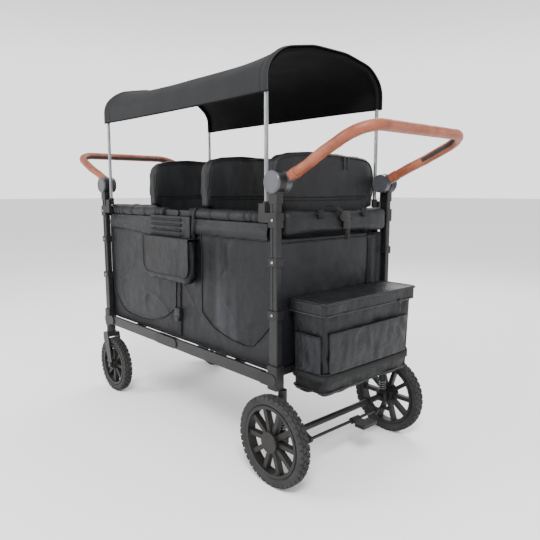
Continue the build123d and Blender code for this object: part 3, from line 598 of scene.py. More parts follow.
@dataclass(frozen=True)
class Stuffing:
    """How a pad swells: a pressure simulation on a voxel mesh, with a limit on how far it moves."""

    pressure: float = 4.0
    cap: float = 0.010
    voxel: float = 0.006
    frames: int = 16

    def puff(self, bm: bmesh.types.BMesh, name: str) -> bmesh.types.BMesh:
        """Swell a closed shape like a stuffed pad.

        Args:
            bm: the shape, a little smaller than the finished pad. It is freed.
            name: a name for the helper object.

        Returns:
            The swollen mesh.
        """
        mesh = bpy.data.meshes.new(name)
        bm.to_mesh(mesh)
        bm.free()
        helper = bpy.data.objects.new(name, mesh)
        bpy.context.scene.collection.objects.link(helper)
        remesh = helper.modifiers.new("voxels", "REMESH")
        remesh.mode = "VOXEL"
        remesh.voxel_size = self.voxel
        rough = baked(helper)
        discard(helper)
        start = [vert.co.copy() for vert in rough.verts]
        mesh = bpy.data.meshes.new(name)
        rough.to_mesh(mesh)
        rough.free()
        helper = bpy.data.objects.new(name, mesh)
        bpy.context.scene.collection.objects.link(helper)
        cloth = helper.modifiers.new("stuffing", "CLOTH")
        cloth.settings.quality = 5
        cloth.settings.use_pressure = True
        cloth.settings.uniform_pressure_force = self.pressure
        cloth.settings.effector_weights.gravity = 0.0
        cloth.point_cache.frame_start = 1
        cloth.point_cache.frame_end = self.frames
        scene = bpy.context.scene
        for number in range(1, self.frames + 1):
            scene.frame_set(number)
        swollen = baked(helper)
        scene.frame_set(1)
        discard(helper)
        swollen.verts.ensure_lookup_table()
        for vert, origin in zip(swollen.verts, start):
            move = vert.co - origin
            if move.length > self.cap:
                vert.co = origin + move.normalized() * self.cap
        bmesh.ops.smooth_vert(swollen, verts=swollen.verts, factor=0.5, use_axis_x=True, use_axis_y=True,
                              use_axis_z=True)
        return swollen


def crinkle(bm: bmesh.types.BMesh, depth: float, scale: float, seed: float) -> None:
    """Push the surface in and out a little, as loose cloth over padding does.

    Args:
        bm: the mesh, which is changed.
        depth: how far it moves.
        scale: how many wrinkles fit in a metre.
        seed: sets one pattern apart from another.
    """
    bm.normal_update()
    for vert in bm.verts:
        stretched = Vector((vert.co.x, vert.co.y, vert.co.z * 0.6))
        vert.co = vert.co + vert.normal * depth * ripple(stretched, scale, seed)


def seam_line(tree: BVHTree, points: Iterable[Vector], toward: Vector, lift: float) -> list[Vector]:
    """The points dropped onto a surface along a direction, and lifted off it a little.

    Args:
        tree: the surface.
        points: the line to drop.
        toward: the unit direction to drop it in.
        lift: how far it stands off the surface.

    Returns:
        The points that met the surface.
    """
    found = []
    for point in points:
        hit = tree.ray_cast(point - toward * 0.2, toward)[0]
        if hit is not None:
            found.append(hit - toward * lift)
    return found


def soft_block(low: Vector, high: Vector, radius: float, cuts: int = 14) -> bmesh.types.BMesh:
    """A finely divided box whose edges and corners are round.

    Args:
        low: its lowest corner.
        high: its highest corner.
        radius: the radius of its edges and corners.
        cuts: how often each edge is divided.

    Returns:
        The mesh.
    """
    bm = bmesh.new()
    bmesh.ops.create_cube(bm, size=1.0)
    bmesh.ops.subdivide_edges(bm, edges=bm.edges, cuts=cuts, use_grid_fill=True)
    centre, half = (low + high) / 2, (high - low) / 2
    for vert in bm.verts:
        point = Vector(2 * vert.co[axis] * half[axis] for axis in range(3))
        inner = Vector(max(-half[axis] + radius, min(half[axis] - radius, point[axis])) for axis in range(3))
        away = point - inner
        vert.co = centre + (inner + away.normalized() * radius if away.length > 0 else point)
    bm.normal_update()
    return bm


def merge(target: bmesh.types.BMesh, extra: bmesh.types.BMesh) -> None:
    """Move one mesh into another.

    Args:
        target: the mesh that grows.
        extra: the mesh to add, which is freed.
    """
    mesh = bpy.data.meshes.new("part")
    extra.to_mesh(mesh)
    extra.free()
    target.from_mesh(mesh)
    bpy.data.meshes.remove(mesh)


def joined(parts: Iterable[bmesh.types.BMesh]) -> bmesh.types.BMesh:
    """All the meshes as one.

    Args:
        parts: the meshes, which are freed.

    Returns:
        The new mesh.
    """
    whole = bmesh.new()
    for part in parts:
        merge(whole, part)
    return whole


def moved(bm: bmesh.types.BMesh, matrix: Matrix) -> bmesh.types.BMesh:
    """A moved copy of a mesh.

    Args:
        bm: the mesh to copy.
        matrix: the move. A mirror keeps the faces outwards.

    Returns:
        The copy.
    """
    copy = bm.copy()
    copy.transform(matrix)
    if matrix.determinant() < 0:
        bmesh.ops.reverse_faces(copy, faces=copy.faces)
    return copy


def rounded_path(corners: Sequence[Vector], radii: Sequence[float], steps: int = 8) -> list[Vector]:
    """A line through the corners, with each inner corner rounded by its own radius.

    Args:
        corners: the line's corners and ends.
        radii: one radius for each inner corner.
        steps: points along each bend.

    Returns:
        The points.
    """
    path = [corners[0]]
    for before, corner, after, radius in zip(corners, corners[1:], corners[2:], radii):
        back, ahead = (before - corner).normalized(), (after - corner).normalized()
        half = back.angle(ahead) / 2
        reach = radius * cos(half) / sin(half)
        centre = corner + (back + ahead).normalized() * (radius / sin(half))
        start, end = corner + back * reach, corner + ahead * reach
        for step in range(steps + 1):
            path.append(centre + (start.lerp(end, step / steps) - centre).normalized() * radius)
    path.append(corners[-1])
    return path


def even_path(path: Sequence[Vector], count: int) -> list[Vector]:
    """The path again, as points at even distances.

    Args:
        path: the line.
        count: how many points to give.

    Returns:
        The points.
    """
    lengths = [0.0]
    for first, second in zip(path, path[1:]):
        lengths.append(lengths[-1] + (second - first).length)
    points, leg = [], 0
    for wanted in span(0.0, lengths[-1], count):
        while leg < len(path) - 2 and lengths[leg + 1] < wanted:
            leg += 1
        share = (wanted - lengths[leg]) / max(lengths[leg + 1] - lengths[leg], 1e-9)
        points.append(path[leg].lerp(path[leg + 1], min(share, 1.0)))
    return points


def prism(outline: Sequence[Vector], depth: Vector, rounding: float = 0.0) -> bmesh.types.BMesh:
    """A flat outline extruded along a direction, with rounded edges if asked.

    Args:
        outline: the flat face's corners.
        depth: how far and which way it is extruded.
        rounding: the radius of the edges around both faces.

    Returns:
        The mesh.
    """
    bm = bmesh.new()
    face = bm.faces.new([bm.verts.new(point) for point in outline])
    made = bmesh.ops.extrude_face_region(bm, geom=[face])
    bmesh.ops.translate(bm, vec=depth, verts=[item for item in made["geom"]
                                              if isinstance(item, bmesh.types.BMVert)])
    bmesh.ops.recalc_face_normals(bm, faces=bm.faces)
    if rounding:
        rims = [edge for edge in bm.edges if abs((edge.verts[0].co - edge.verts[1].co).normalized().dot(
            depth.normalized())) < 0.5]
        bmesh.ops.bevel(bm, geom=rims, offset=rounding, segments=3, profile=0.5, affect="EDGES", material=-1)
    return bm


def sleeve(low: float, high: float, centre: Vector, radius: Callable[[float, float], float],
           columns: int = 90, around: int = 28) -> bmesh.types.BMesh:
    """A tube along X whose radius depends on x and on the angle around it, closed at both ends.

    Args:
        low: where it starts.
        high: where it ends.
        centre: a point on its axis.
        radius: gives the radius at x and an angle.
        columns: divisions along it.
        around: divisions around it.

    Returns:
        The mesh.
    """
    def place(u: float, v: float) -> Vector:
        """A point of the tube."""
        x, angle = low + (high - low) * u, 2 * pi * v
        reach = radius(x, angle)
        return Vector((x, centre.y + reach * cos(angle), centre.z + reach * sin(angle)))

    bm = cloth_grid(columns, around, place)
    bmesh.ops.remove_doubles(bm, verts=bm.verts, dist=1e-5)
    rims = [edge for edge in bm.edges if edge.is_boundary]
    bmesh.ops.holes_fill(bm, edges=rims, sides=0)
    bmesh.ops.recalc_face_normals(bm, faces=bm.faces)
    return bm


def bell(distance: float, width: float) -> float:
    """A smooth hump, 1 at no distance, that falls away over the width."""
    return 2.718 ** (-(distance / width) ** 2)


def spun(profile: Sequence[tuple[float, float]], centre: Vector, steps: int = 96) -> bmesh.types.BMesh:
    """A closed profile of (radius, distance along Y) turned around the Y axis through the centre.

    Args:
        profile: the closed profile.
        centre: a point on the axis.
        steps: divisions around it.

    Returns:
        The mesh.
    """
    bm = bmesh.new()
    verts = [bm.verts.new(centre + Vector((radius, along, 0.0))) for radius, along in profile]
    edges = [bm.edges.new((first, second)) for first, second in zip(verts, verts[1:] + verts[:1])]
    bmesh.ops.spin(bm, geom=verts + edges, cent=centre, axis=Vector((0, 1, 0)), dvec=Vector((0, 0, 0)),
                   angle=2 * pi, steps=steps, use_merge=True, use_duplicate=False)
    bmesh.ops.recalc_face_normals(bm, faces=bm.faces)
    return bm


# ---------------------------------------------------------------- frame
class FrameFinishes:
    """Finishes of the hard CAD nodes that stay in view."""

    finishes = {
        "handle_rear_hubs": Kit.hub, "handle_front_hubs": Kit.hub, "canopy_hoop_rear": Kit.tube,
        "canopy_hoop_front": Kit.tube, "rear_rivets": Kit.rivet, "front_rivets": Kit.rivet,
        "rear_post_collars": Kit.plastic, "front_post_collars": Kit.plastic, "caster_housings": Kit.plastic,
        "brake_pedal": Kit.plastic, "brake_brackets": Kit.plastic, "axle_carriers": Kit.plastic,
        "suspension_sleeves": Kit.plastic, "floor_hinge_brackets": Kit.plastic,
    }

    def build(self) -> None:
        """Give every CAD node a finish."""
        for name, node in frame["nodes"].items():
            material = self.finishes.get(name, Kit.frame)
            if name.endswith("_rim") or name.endswith("_cap"):
                material = Kit.rim
            node.data.materials.clear()
            node.data.materials.append(material)
            for face in node.data.polygons:
                face.material_index = 0
        LOG.info("finished %d CAD nodes", len(frame["nodes"]))


# ---------------------------------------------------------------- canopy
@dataclass
class CanopyCover:
    """The canopy: cloth over both hoops, sleeved at each, sagging a little between them."""

    half_length: float = 0.482
    hoop_x: float = 0.468
    offset: float = 0.0078
    sag: float = 0.020
    sag_at_sides: float = 0.55
    more_sag_on_top: float = 0.45
    sleeve_reach: float = 0.009
    looseness: float = 0.0015
    sleeve_rise: float = 0.0030
    bends: tuple[float, ...] = (0.070, 0.110, 0.250, 0.250, 0.110, 0.070)
    hoop_bend: float = 0.070
    sleeve_radius: float = 0.0074
    thickness: float = 0.0012
    corners: tuple[tuple[float, float], ...] = ((-0.246, 1.100), (-0.246, 1.169), (-0.188, 1.217),
                                                (-0.0703, 1.239), (0.0703, 1.239), (0.188, 1.217),
                                                (0.246, 1.169), (0.246, 1.100))

    def outline(self, count: int, bends: Sequence[float]) -> list[tuple[Vector, Vector]]:
        """Points along the hoop, with the direction away from it, for the given bend radii.

        Args:
            count: how many points to give.
            bends: the radius of each bend.

        Returns:
            Each point, and the unit direction away from the hoop there.
        """
        corners = [Vector((0.0, y, z)) for y, z in self.corners]
        path = even_path(rounded_path(corners, bends), count)
        found = []
        for index, point in enumerate(path):
            ahead = path[min(index + 1, count - 1)] - path[max(index - 1, 0)]
            found.append((point, Vector((0.0, -ahead.z, ahead.y)).normalized()))
        return found

    def surface(self, x: float, at: tuple[Vector, Vector]) -> Vector:
        """Where the cloth lies at x and at a point of the outline.

        Args:
            x: its place along the wagon.
            at: a point of the outline and its direction.

        Returns:
            The point.
        """
        point, away = at
        inner = min(abs(x) / self.hoop_x, 1.0)
        sag = self.sag * (1 - inner ** 4) * (self.sag_at_sides + self.more_sag_on_top * away.z)
        rise = self.sleeve_rise * bell(abs(x) - self.hoop_x, self.sleeve_reach)
        loose = self.looseness * ripple(Vector((x, point.y, point.z)), 6.0, 3.0) * (1 - inner ** 4)
        return Vector((x, point.y, point.z)) + away * (self.offset + rise - sag + loose)

    def cut(self, ring: Sequence[tuple[Vector, Vector]]) -> Triple:
        """The cloth's cut: as long as the outline at the hoops, and waisted between them.

        The waist is the sag summed around the outline's half turn. Its mean along the span is 0.8 of
        that, because the sag follows 1 - x ** 4.

        Args:
            ring: the outline that the cloth follows.

        Returns:
            The width, the length and the flat area.
        """
        edge = [point + away * self.offset for point, away in ring]
        length = sum((second - first).length for first, second in zip(edge, edge[1:]))
        waist = self.sag * (self.sag_at_sides * pi + self.more_sag_on_top * 2) * 0.8
        width = 2 * self.half_length
        return width, length, width * (length - waist)

    def build(self) -> None:
        """Build the cloth, its hems and its piping."""
        rows = 120
        ring = self.outline(rows + 1, self.bends)
        hoop = self.outline(61, (self.hoop_bend,) * 6)

        def place(u: float, v: float) -> Vector:
            """Put the grid's columns closer together near the hoops."""
            squeeze = sin((u - 0.5) * pi) * 0.5 + 0.5
            x = -self.half_length + 2 * self.half_length * (0.6 * squeeze + 0.4 * u)
            return self.surface(x, ring[round(v * rows)])

        cover = to_object(cloth_grid(90, rows, place), "canopy_cover", Kit.canopy, "canopy_rear",
                          outward=Vector((0, 0, 1)))
        cover.data.materials.append(Kit.lining)
        width, length, area = self.cut(ring)
        solidify(cover, self.thickness, inside=1)
        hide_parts("canopy_fabric")
        trims = []
        for sign in (-1, 1):
            edge = [self.surface(sign * self.half_length, at) for at in ring[::2]]
            trims.append(cord_mesh(edge, 0.0016))
            seam = [self.surface(sign * (self.hoop_x - 0.024), at) + at[1] * 0.0004 for at in ring[::2]]
            trims.append(cord_mesh(seam, 0.0009))
        piping = to_object(joined(trims), "canopy_piping", Kit.piping, "canopy_rear")
        hems = []
        for at in (ring[0], ring[-1]):
            edge = [self.surface(x, at) for x in span(-self.half_length, self.half_length, 24)]
            hems.append(cord_mesh(edge, 0.0020))
        hem = to_object(joined(hems), "canopy_hem", Kit.lining, "canopy_rear")
        for piece in (cover, piping, hem):
            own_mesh(piece)
        for end in End:
            line = [at[0] + Vector((end.value * self.hoop_x, 0, 0)) for at in hoop]
            sleeve_mesh = cord_mesh(line, self.sleeve_radius, smooth=False)
            to_object(sleeve_mesh, f"canopy_sleeve_{end.word}", Kit.lining, f"canopy_{end.word}")
        LOG.info("canopy cover")


def fold_flat(piece: bpy.types.Object) -> bpy.types.Object:
    """Give a soft piece of the tub its own copy of its mesh."""
    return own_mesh(piece)


def level_at(points: Sequence[tuple[float, float]], x: float) -> float:
    """The height of a smooth line through (x, z) points.

    Args:
        points: the line, from low x to high.
        x: where to read it.

    Returns:
        The height.
    """
    last = len(points) - 1
    if x <= points[0][0]:
        return points[0][1]
    if x >= points[last][0]:
        return points[last][1]
    leg = max(index for index in range(last) if points[index][0] <= x)

    def slope(index: int) -> float:
        """The slope of the line at one of its points."""
        (x0, z0), (x1, z1) = points[max(index - 1, 0)], points[min(index + 1, last)]
        return (z1 - z0) / (x1 - x0)

    (x0, z0), (x1, z1) = points[leg], points[leg + 1]
    width = x1 - x0
    share = (x - x0) / width
    square, cube = share * share, share ** 3
    return ((2 * cube - 3 * square + 1) * z0 + (cube - 2 * square + share) * width * slope(leg)
            + (3 * square - 2 * cube) * z1 + (cube - square) * width * slope(leg + 1))


@dataclass
class TubWall:
    """One long cloth wall: a wrinkled sheet with a mesh window, a flap, a valance and piping."""

    side: Side
    y: float = 0.240
    bottom: float = 0.3225
    top: float = 0.742
    half: float = 0.490
    window: tuple[tuple[float, float], ...] = ((0.148, 0.436), (0.200, 0.402), (0.254, 0.383),
                                               (0.330, 0.370), (0.398, 0.374), (0.479, 0.451))
    flap: tuple[tuple[float, float], ...] = ((-0.479, 0.430), (-0.400, 0.362), (-0.300, 0.345),
                                             (-0.180, 0.352), (-0.080, 0.385), (-0.014, 0.430))
    valance_cut: tuple[float, float] = (0.9506, 0.060)

    def out(self, x: float, z: float) -> float:
        """How far from the middle of the wagon the wall's face lies.

        Args:
            x: its place along the wagon.
            z: its height.

        Returns:
            The distance.
        """
        height = (z - self.bottom) / (self.top - self.bottom)
        free = min(1.0, 4 * height, 4 * (1 - height) + 0.25, 8 * (self.half - abs(x)) + 0.05)
        seed = 5.0 * self.side.value
        folds = 0.0056 * ripple(Vector((x, 0.0, z * 0.55)), 13.0, seed)
        fine = 0.0020 * ripple(Vector((x, 0.0, z * 0.8)), 38.0, seed + 2)
        creases = 0.0044 * (1 - min(1.0, abs(ripple(Vector((x * 0.9 + z * 0.5, 0.0, z)), 7.0, seed + 9)) * 9))
        return self.y + (folds + fine + creases) * max(free, 0.0)

    def point(self, x: float, z: float, lift: float = 0.0) -> Vector:
        """A point on the wall's face, lifted off it."""
        return Vector((x, self.side.value * (self.out(x, z) + lift), z))

    def patch(self, name: str, material: bpy.types.Material, line: Sequence[tuple[float, float]], top: float,
              lift: float) -> bpy.types.Object:
        """A second layer of cloth on the wall, from a curved lower line up to a straight top.

        Args:
            name: the piece's name.
            material: its finish.
            line: its lower edge.
            top: the height of its upper edge.
            lift: how far it stands off the wall.

        Returns:
            The piece.
        """
        low, high = line[0][0], line[-1][0]

        def place(u: float, v: float) -> Vector:
            """A point of the patch, which lies closer to the wall at its edges."""
            x = low + (high - low) * u
            z = level_at(line, x)
            edge = min(1.0, 10 * min(v, 1 - v, u, 1 - u) + 0.2)
            return self.point(x, z + (top - z) * v, lift * edge)

        patch = to_object(cloth_grid(90, 60, place), name, material, "rear_end",
                          outward=Vector((0, self.side.value, 0)))
        drops = [top - level_at(line, x) for x in span(low, high, 60)]
        top - min(z for _, z in line)
        return fold_flat(solidify(patch, 0.0008))

    def trim(self, line: Sequence[tuple[float, float]], top: float) -> bmesh.types.BMesh:
        """Piping around a patch.

        Args:
            line: the patch's lower edge.
            top: the height where the piping ends.

        Returns:
            The mesh.
        """
        low, high = line[0][0], line[-1][0]
        path = [self.point(low, z, 0.002) for z in span(top, line[0][1], 14)]
        path += [self.point(x, level_at(line, x), 0.002) for x in span(low, high, 40)[1:-1]]
        path += [self.point(high, z, 0.002) for z in span(line[-1][1], top, 14)]
        return cord_mesh(path, 0.0022)

    def build(self) -> None:
        """Build the wall and everything sewn on it."""
        word = self.side.name.lower()

        def place(u: float, v: float) -> Vector:
            """A point of the wall."""
            return self.point(self.half * (2 * u - 1), self.bottom + (self.top - self.bottom) * v)

        wall = to_object(cloth_grid(200, 90, place), f"wall_{word}", Kit.cloth, "rear_end",
                         outward=Vector((0, self.side.value, 0)))
        fold_flat(solidify(wall, 0.0015))
        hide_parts("side_walls")
        self.patch(f"window_{word}", Kit.mesh, self.window, 0.697, 0.0025)
        self.patch(f"flap_{word}", Kit.panel, self.flap, 0.688, 0.0035)
        trims = [self.trim(self.window, 0.695), self.trim(self.flap, 0.680)]
        fold_flat(to_object(joined(trims), f"wall_piping_{word}", Kit.dark_piping, "rear_end"))
        hem = cord_mesh([self.point(x, self.bottom + 0.003) for x in span(-self.half, self.half, 40)], 0.0026)
        fold_flat(to_object(hem, f"wall_hem_{word}", Kit.webbing, "rear_end"))
        self.build_valance(word)
        self.build_strap(word)
        LOG.info("wall %s", word)

    def build_valance(self, word: str) -> None:
        """The gathered band that hangs from the rail.

        Args:
            word: the side's name.
        """
        def place(u: float, v: float) -> Vector:
            """A point of the band, from its wavy lower edge up to the rail."""
            x = self.half * 0.97 * (2 * u - 1)
            low = 0.696 if x > 0.12 else 0.682 - 0.010 * cos(x * 6)
            low += 0.0022 * ripple(Vector((x, 0, 0)), 30.0, 4.0)
            z = low + (0.7445 - low) * v
            gather = 0.0030 * ripple(Vector((x, 0.0, z * 0.30)), 24.0, 8.0 * self.side.value)
            gather += 0.0010 * ripple(Vector((x, 0.0, z * 0.4)), 70.0, 3.0)
            swell = 0.0035 * sin(pi * min(v * 1.2, 1.0)) - 0.0030 * v * v
            return Vector((x, self.side.value * (self.y + 0.0080 + swell + gather * (1 - 0.4 * v)), z))

        valance = to_object(cloth_grid(260, 14, place), f"valance_{word}", Kit.panel, "rear_end",
                            outward=Vector((0, self.side.value, 0)))
        fold_flat(solidify(valance, 0.0012))
        hem = cord_mesh([place(u, 0.0) for u in span(0.0, 1.0, 120)], 0.0017)
        fold_flat(to_object(hem, f"valance_hem_{word}", Kit.dark_piping, "rear_end"))

    def build_strap(self, word: str) -> None:
        """The upright strap with its clip at the middle of the wall.

        Args:
            word: the side's name.
        """
        path = [self.point(0.008, z, 0.0045) for z in span(0.332, 0.705, 22)]
        tape = strap(path, 0.020, 0.0016, Vector((1, 0, 0)))
        fold_flat(to_object(tape, f"wall_strap_{word}", Kit.webbing, "rear_end", smooth=False))
        y = self.side.value * 0.2500
        clip = joined([
            block(Vector((-0.008, y - 0.004, 0.395)), Vector((0.024, y + 0.004, 0.430)), 0.0025),
            block(Vector((-0.003, y - 0.006, 0.384)), Vector((0.019, y + 0.006, 0.400)), 0.0020),
        ])
        fold_flat(to_object(clip, f"wall_clip_{word}", Kit.plastic, "rear_end"))


@dataclass
class RailSleeves:
    """Gathered padded sleeves on one end's pair of top rails, with webbing loops around them."""

    end: End
    y: float = 0.232
    z: float = 0.760
    radius: float = 0.0185
    bands: tuple[float, ...] = (0.075, 0.100, 0.122, 0.205, 0.300, 0.372, 0.402, 0.428)
    loop_radius: float = 0.0172
    loop_half: float = 0.0035

    def thickness(self, x: float, angle: float) -> float:
        """The sleeve's radius at x and at an angle around the rail.

        Args:
            x: its place along the wagon.
            angle: the angle around the rail, 0 being across.

        Returns:
            The radius.
        """
        reach = abs(x)
        puff = 0.0014 * ripple(Vector((reach, cos(angle) * 0.02, sin(angle) * 0.02)), 26.0, self.end.value)
        pinch = sum(0.0034 * bell(reach - band, 0.0055) for band in self.bands)
        size = self.radius + puff - pinch
        if sin(angle) > 0:
            size = min(size, max(0.22 * reach / max(sin(angle), 0.05), 0.0135))
        return 0.0118 if reach > 0.4470 or reach < 0.0790 else size

    def build(self) -> None:
        """Build the sleeves and their loops."""
        sign = self.end.value
        sleeves, loops = [], []
        for side in Side:
            centre = Vector((0.0, side.value * self.y, self.z))
            low, high = sorted((sign * 0.078, sign * 0.4475))
            sleeves.append(sleeve(low, high, centre, self.thickness, columns=150))
            for band in self.bands[1:]:
                low, high = sorted((sign * (band - self.loop_half), sign * (band + self.loop_half)))
                loops.append(sleeve(low, high, centre, lambda x, angle: self.loop_radius, columns=4))
        wraps = to_object(joined(sleeves), f"rail_sleeves_{self.end.word}", Kit.panel,
                          f"top_rails_{self.end.word}")
        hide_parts(f"rail_wraps_{self.end.word}")
        to_object(joined(loops), f"rail_loops_{self.end.word}", Kit.webbing, f"top_rails_{self.end.word}")
        LOG.info("rail sleeves %s", self.end.word)


@dataclass
class EndDressing:
    """The padded bar and the cloth panel at each end."""

    stuffing: Stuffing = Stuffing(cap=0.005, voxel=0.005)
    x: float = 0.511
    panel_foot: float = 0.333
    panel_width: float = 0.466
    panel_height: float = 0.3687

    def build(self) -> None:
        """Swell one pad and use it at both ends."""
        pad = self.stuffing.puff(block(Vector((self.x - 0.023, -0.229, 0.707)),
                                       Vector((self.x + 0.023, 0.229, 0.781)), 0.018, 4), "end_pad")
        crinkle(pad, 0.0016, 24.0, 2.0)
        for end in End:
            matrix = Matrix.Diagonal((end.value, 1, 1, 1))
            shape = moved(pad, matrix)
            piece = to_object(shape, f"end_pad_{end.word}", Kit.seat, f"{end.word}_end")
            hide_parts(f"{end.word}_rail_pad")
            self.build_panel(end)
            self.build_straps(end)
        pad.free()
        LOG.info("end pads and panels")

    def face(self, end: End, y: float, z: float) -> Vector:
        """A point on the outer face of the end panel.

        Args:
            end: which end.
            y: its place across the wagon.
            z: its height.

        Returns:
            The point.
        """
        height = (z - self.panel_foot) / self.panel_height
        free = min(1.0, 5 * height + 0.2, 5 * (1 - height) + 0.2, 12 * (0.233 - abs(y)) + 0.1)
        wave = 0.0034 * ripple(Vector((0, y, z * 0.6)), 11.0, 4.0 * end.value)
        wave += 0.0014 * ripple(Vector((0, y, z)), 32.0, 1.0)
        return Vector((end.value * (self.x + 0.001 + wave * free), y, z))

    def build_panel(self, end: End) -> None:
        """The cloth panel below the pad.

        Args:
            end: which end.
        """
        def place(u: float, v: float) -> Vector:
            """A point of the panel."""
            return self.face(end, self.panel_width * (u - 0.5), self.panel_foot + self.panel_height * v)

        panel = to_object(cloth_grid(80, 64, place), f"end_cloth_{end.word}", Kit.panel, f"{end.word}_end",
                          outward=Vector((end.value, 0, 0)))
        solidify(panel, 0.0016)
        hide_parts(f"{end.word}_end_panel")
        path = [self.face(end, 0.181, z) + Vector((end.value * 0.0022, 0, 0)) for z in span(0.34, 0.699, 20)]
        to_object(strap(path, 0.053, 0.0014, Vector((0, 1, 0))), f"end_strip_{end.word}", Kit.cloth,
                  f"{end.word}_end")
        seam = [self.face(end, y, 0.690) + Vector((end.value * 0.001, 0, 0)) for y in span(-0.23, 0.23, 20)]
        to_object(cord_mesh(seam, 0.0020), f"end_seam_{end.word}", Kit.dark_piping, f"{end.word}_end")

    def build_straps(self, end: End) -> None:
        """Elastic loops on the pad and, at the rear, the strap with its side-release buckle.

        Args:
            end: which end.
        """
        sign = end.value
        tapes = []
        for y in (-0.100, 0.100):
            path = [Vector((sign * 0.531, y, 0.7795)), Vector((sign * 0.5385, y, 0.7720)),
                    Vector((sign * 0.5405, y, 0.7640)), Vector((sign * 0.5395, y, 0.7560))]
            tapes.append(strap(path, 0.026, 0.0030, Vector((0, 1, 0))))
        to_object(joined(tapes), f"pad_loops_{end.word}", Kit.webbing, f"{end.word}_end")
        if end is End.FRONT:
            return
        path = [Vector(point) for point in (
            (0.500, -0.020, 0.789), (0.524, -0.019, 0.788), (0.540, -0.014, 0.776), (0.545, -0.006, 0.764),
            (0.545, 0.012, 0.740), (0.543, 0.016, 0.712), (0.541, 0.017, 0.690))]
        tape = to_object(strap(path, 0.022, 0.0018, Vector((0, 1, 0))), "seat_strap", Kit.webbing,
                         "rear_end")
        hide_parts("seat_strap_buckle")
        buckle = joined([
            block(Vector((0.5425, -0.020, 0.745)), Vector((0.5515, 0.018, 0.775)), 0.0030),
            block(Vector((0.5430, -0.009, 0.722)), Vector((0.5505, 0.024, 0.748)), 0.0025),
            block(Vector((0.5435, -0.024, 0.752)), Vector((0.5495, -0.018, 0.768)), 0.0018),
            block(Vector((0.5435, 0.016, 0.752)), Vector((0.5495, 0.022, 0.768)), 0.0018),
        ])
        to_object(buckle, "seat_buckle", Kit.plastic, "rear_end")


# ---------------------------------------------------------------- inside
@dataclass
class SeatRow:
    """Three padded seat backs, swollen once, with their piping and seams."""

    stuffing: Stuffing = Stuffing(cap=0.006, voxel=0.006)
    faces: tuple[tuple[str, str, float], ...] = (
        ("rear", "rear_end", 0.478), ("middle", "seat_middle", 0.164), ("front", "seat_front", -0.164))
    outline: tuple[tuple[float, float], ...] = (
        (0.206, 0.5453), (0.206, 0.776), (0.234, 0.7815), (0.2355, 0.800), (0.2360, 0.850), (0.2335, 0.898),
        (0.2220, 0.927), (0.1980, 0.944), (0.1500, 0.9525), (0.0800, 0.9565), (0.0, 0.9575))
    middle: float = -0.021

    def ring(self, inset: float, head: bool) -> list[tuple[float, float]]:
        """The outline of the whole back, or of its head alone, moved inwards by inset.

        Args:
            inset: how far it moves inwards.
            head: whether only the head is wanted.

        Returns:
            The points, across and up.
        """
        right = [point for point in self.outline if point[1] > 0.783 or not head]
        whole = right + [(-y, z) for y, z in reversed(right[:-1])]
        centre = Vector((0.0, 0.0, 0.87 if head else 0.75))
        found = []
        for index, (y, z) in enumerate(whole):
            point = Vector((0.0, y, z))
            before, after = whole[index - 1], whole[(index + 1) % len(whole)]
            along = Vector((0.0, after[0] - before[0], after[1] - before[1])).normalized()
            inward = Vector((0.0, -along.z, along.y))
            if inward.dot(centre - point) < 0:
                inward = -inward
            point += inward * inset
            found.append((point.y, point.z))
        return found

    def build(self) -> None:
        """Build the pad, then place it three times."""
        outline = [Vector((-0.0395, y, z)) for y, z in self.ring(0.0025, False)]
        back = self.stuffing.puff(prism(outline, Vector((0.036, 0.0, 0.0)), 0.006), "seat_back")
        crinkle(back, 0.0030, 13.0, 6.0)
        crinkle(back, 0.0012, 34.0, 1.0)
        tree = BVHTree.FromBMesh(back)
        trims = []
        for toward in (Vector((-1, 0, 0)), Vector((1, 0, 0))):
            rim = self.ring(0.017, True)
            places = [Vector((self.middle, y, z)) for y, z in rim]
            places = even_path(places + places[:1], 90)
            path = seam_line(tree, places, toward, 0.0008)
            trims.append(cord_mesh(path, 0.0024, closed=True))
            low = [Vector((self.middle, y, 0.807)) for y in span(-0.222, 0.222, 40)]
            trims.append(cord_mesh(seam_line(tree, low, toward, 0.0004), 0.0015))
        piping = joined(trims)
        for name, body, x in self.faces:
            move = Matrix.Translation((x, 0, 0))
            piece = to_object(moved(back, move), f"back_{name}", Kit.seat, body)
            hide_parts(f"seat_back_{name}")
            to_object(moved(piping, move), f"back_piping_{name}", Kit.dark_piping, body)
        back.free()
        piping.free()
        self.build_zip()
        LOG.info("seat backs")

    def build_zip(self) -> None:
        """The two pullers of the zip along the top of the rear back."""
        tags = []
        for y in (0.068, 0.086):
            tags.append(block(Vector((0.4795, y - 0.004, 0.926)), Vector((0.4850, y + 0.004, 0.940)),
                              0.0014, 2))
            tags.append(block(Vector((0.4815, y - 0.003, 0.900)), Vector((0.4838, y + 0.003, 0.930)),
                              0.0010, 2))
        to_object(joined(tags), "back_zip_pullers", Kit.zip, "rear_end")


@dataclass
class TubFloor:
    """The seat cushions and the mat under them."""

    def build(self) -> None:
        """Build the three cushions and the mat."""
        cushions = []
        for face in (0.478, 0.164, -0.164):
            low = Vector((face - 0.262 - 0.040, -0.234, 0.521))
            high = Vector((face - 0.044, 0.234, 0.5445))
            cushion = soft_block(low, high, 0.010, 20)
            crinkle(cushion, 0.0018, 16.0, face)
            cushions.append(cushion)
        seat = to_object(joined(cushions), "cushions", Kit.seat, "rear_end")
        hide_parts("seat_benches")
        fold_flat(seat)
        mat = soft_block(Vector((-0.490, -0.2360, 0.3134)), Vector((0.490, 0.2360, 0.3212)), 0.003, 30)
        crinkle(mat, 0.0006, 14.0, 1.0)
        mat = to_object(mat, "mat", Kit.cloth, "rear_end")
        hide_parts("floor_mat")
        fold_flat(mat)
        LOG.info("cushions and mat")


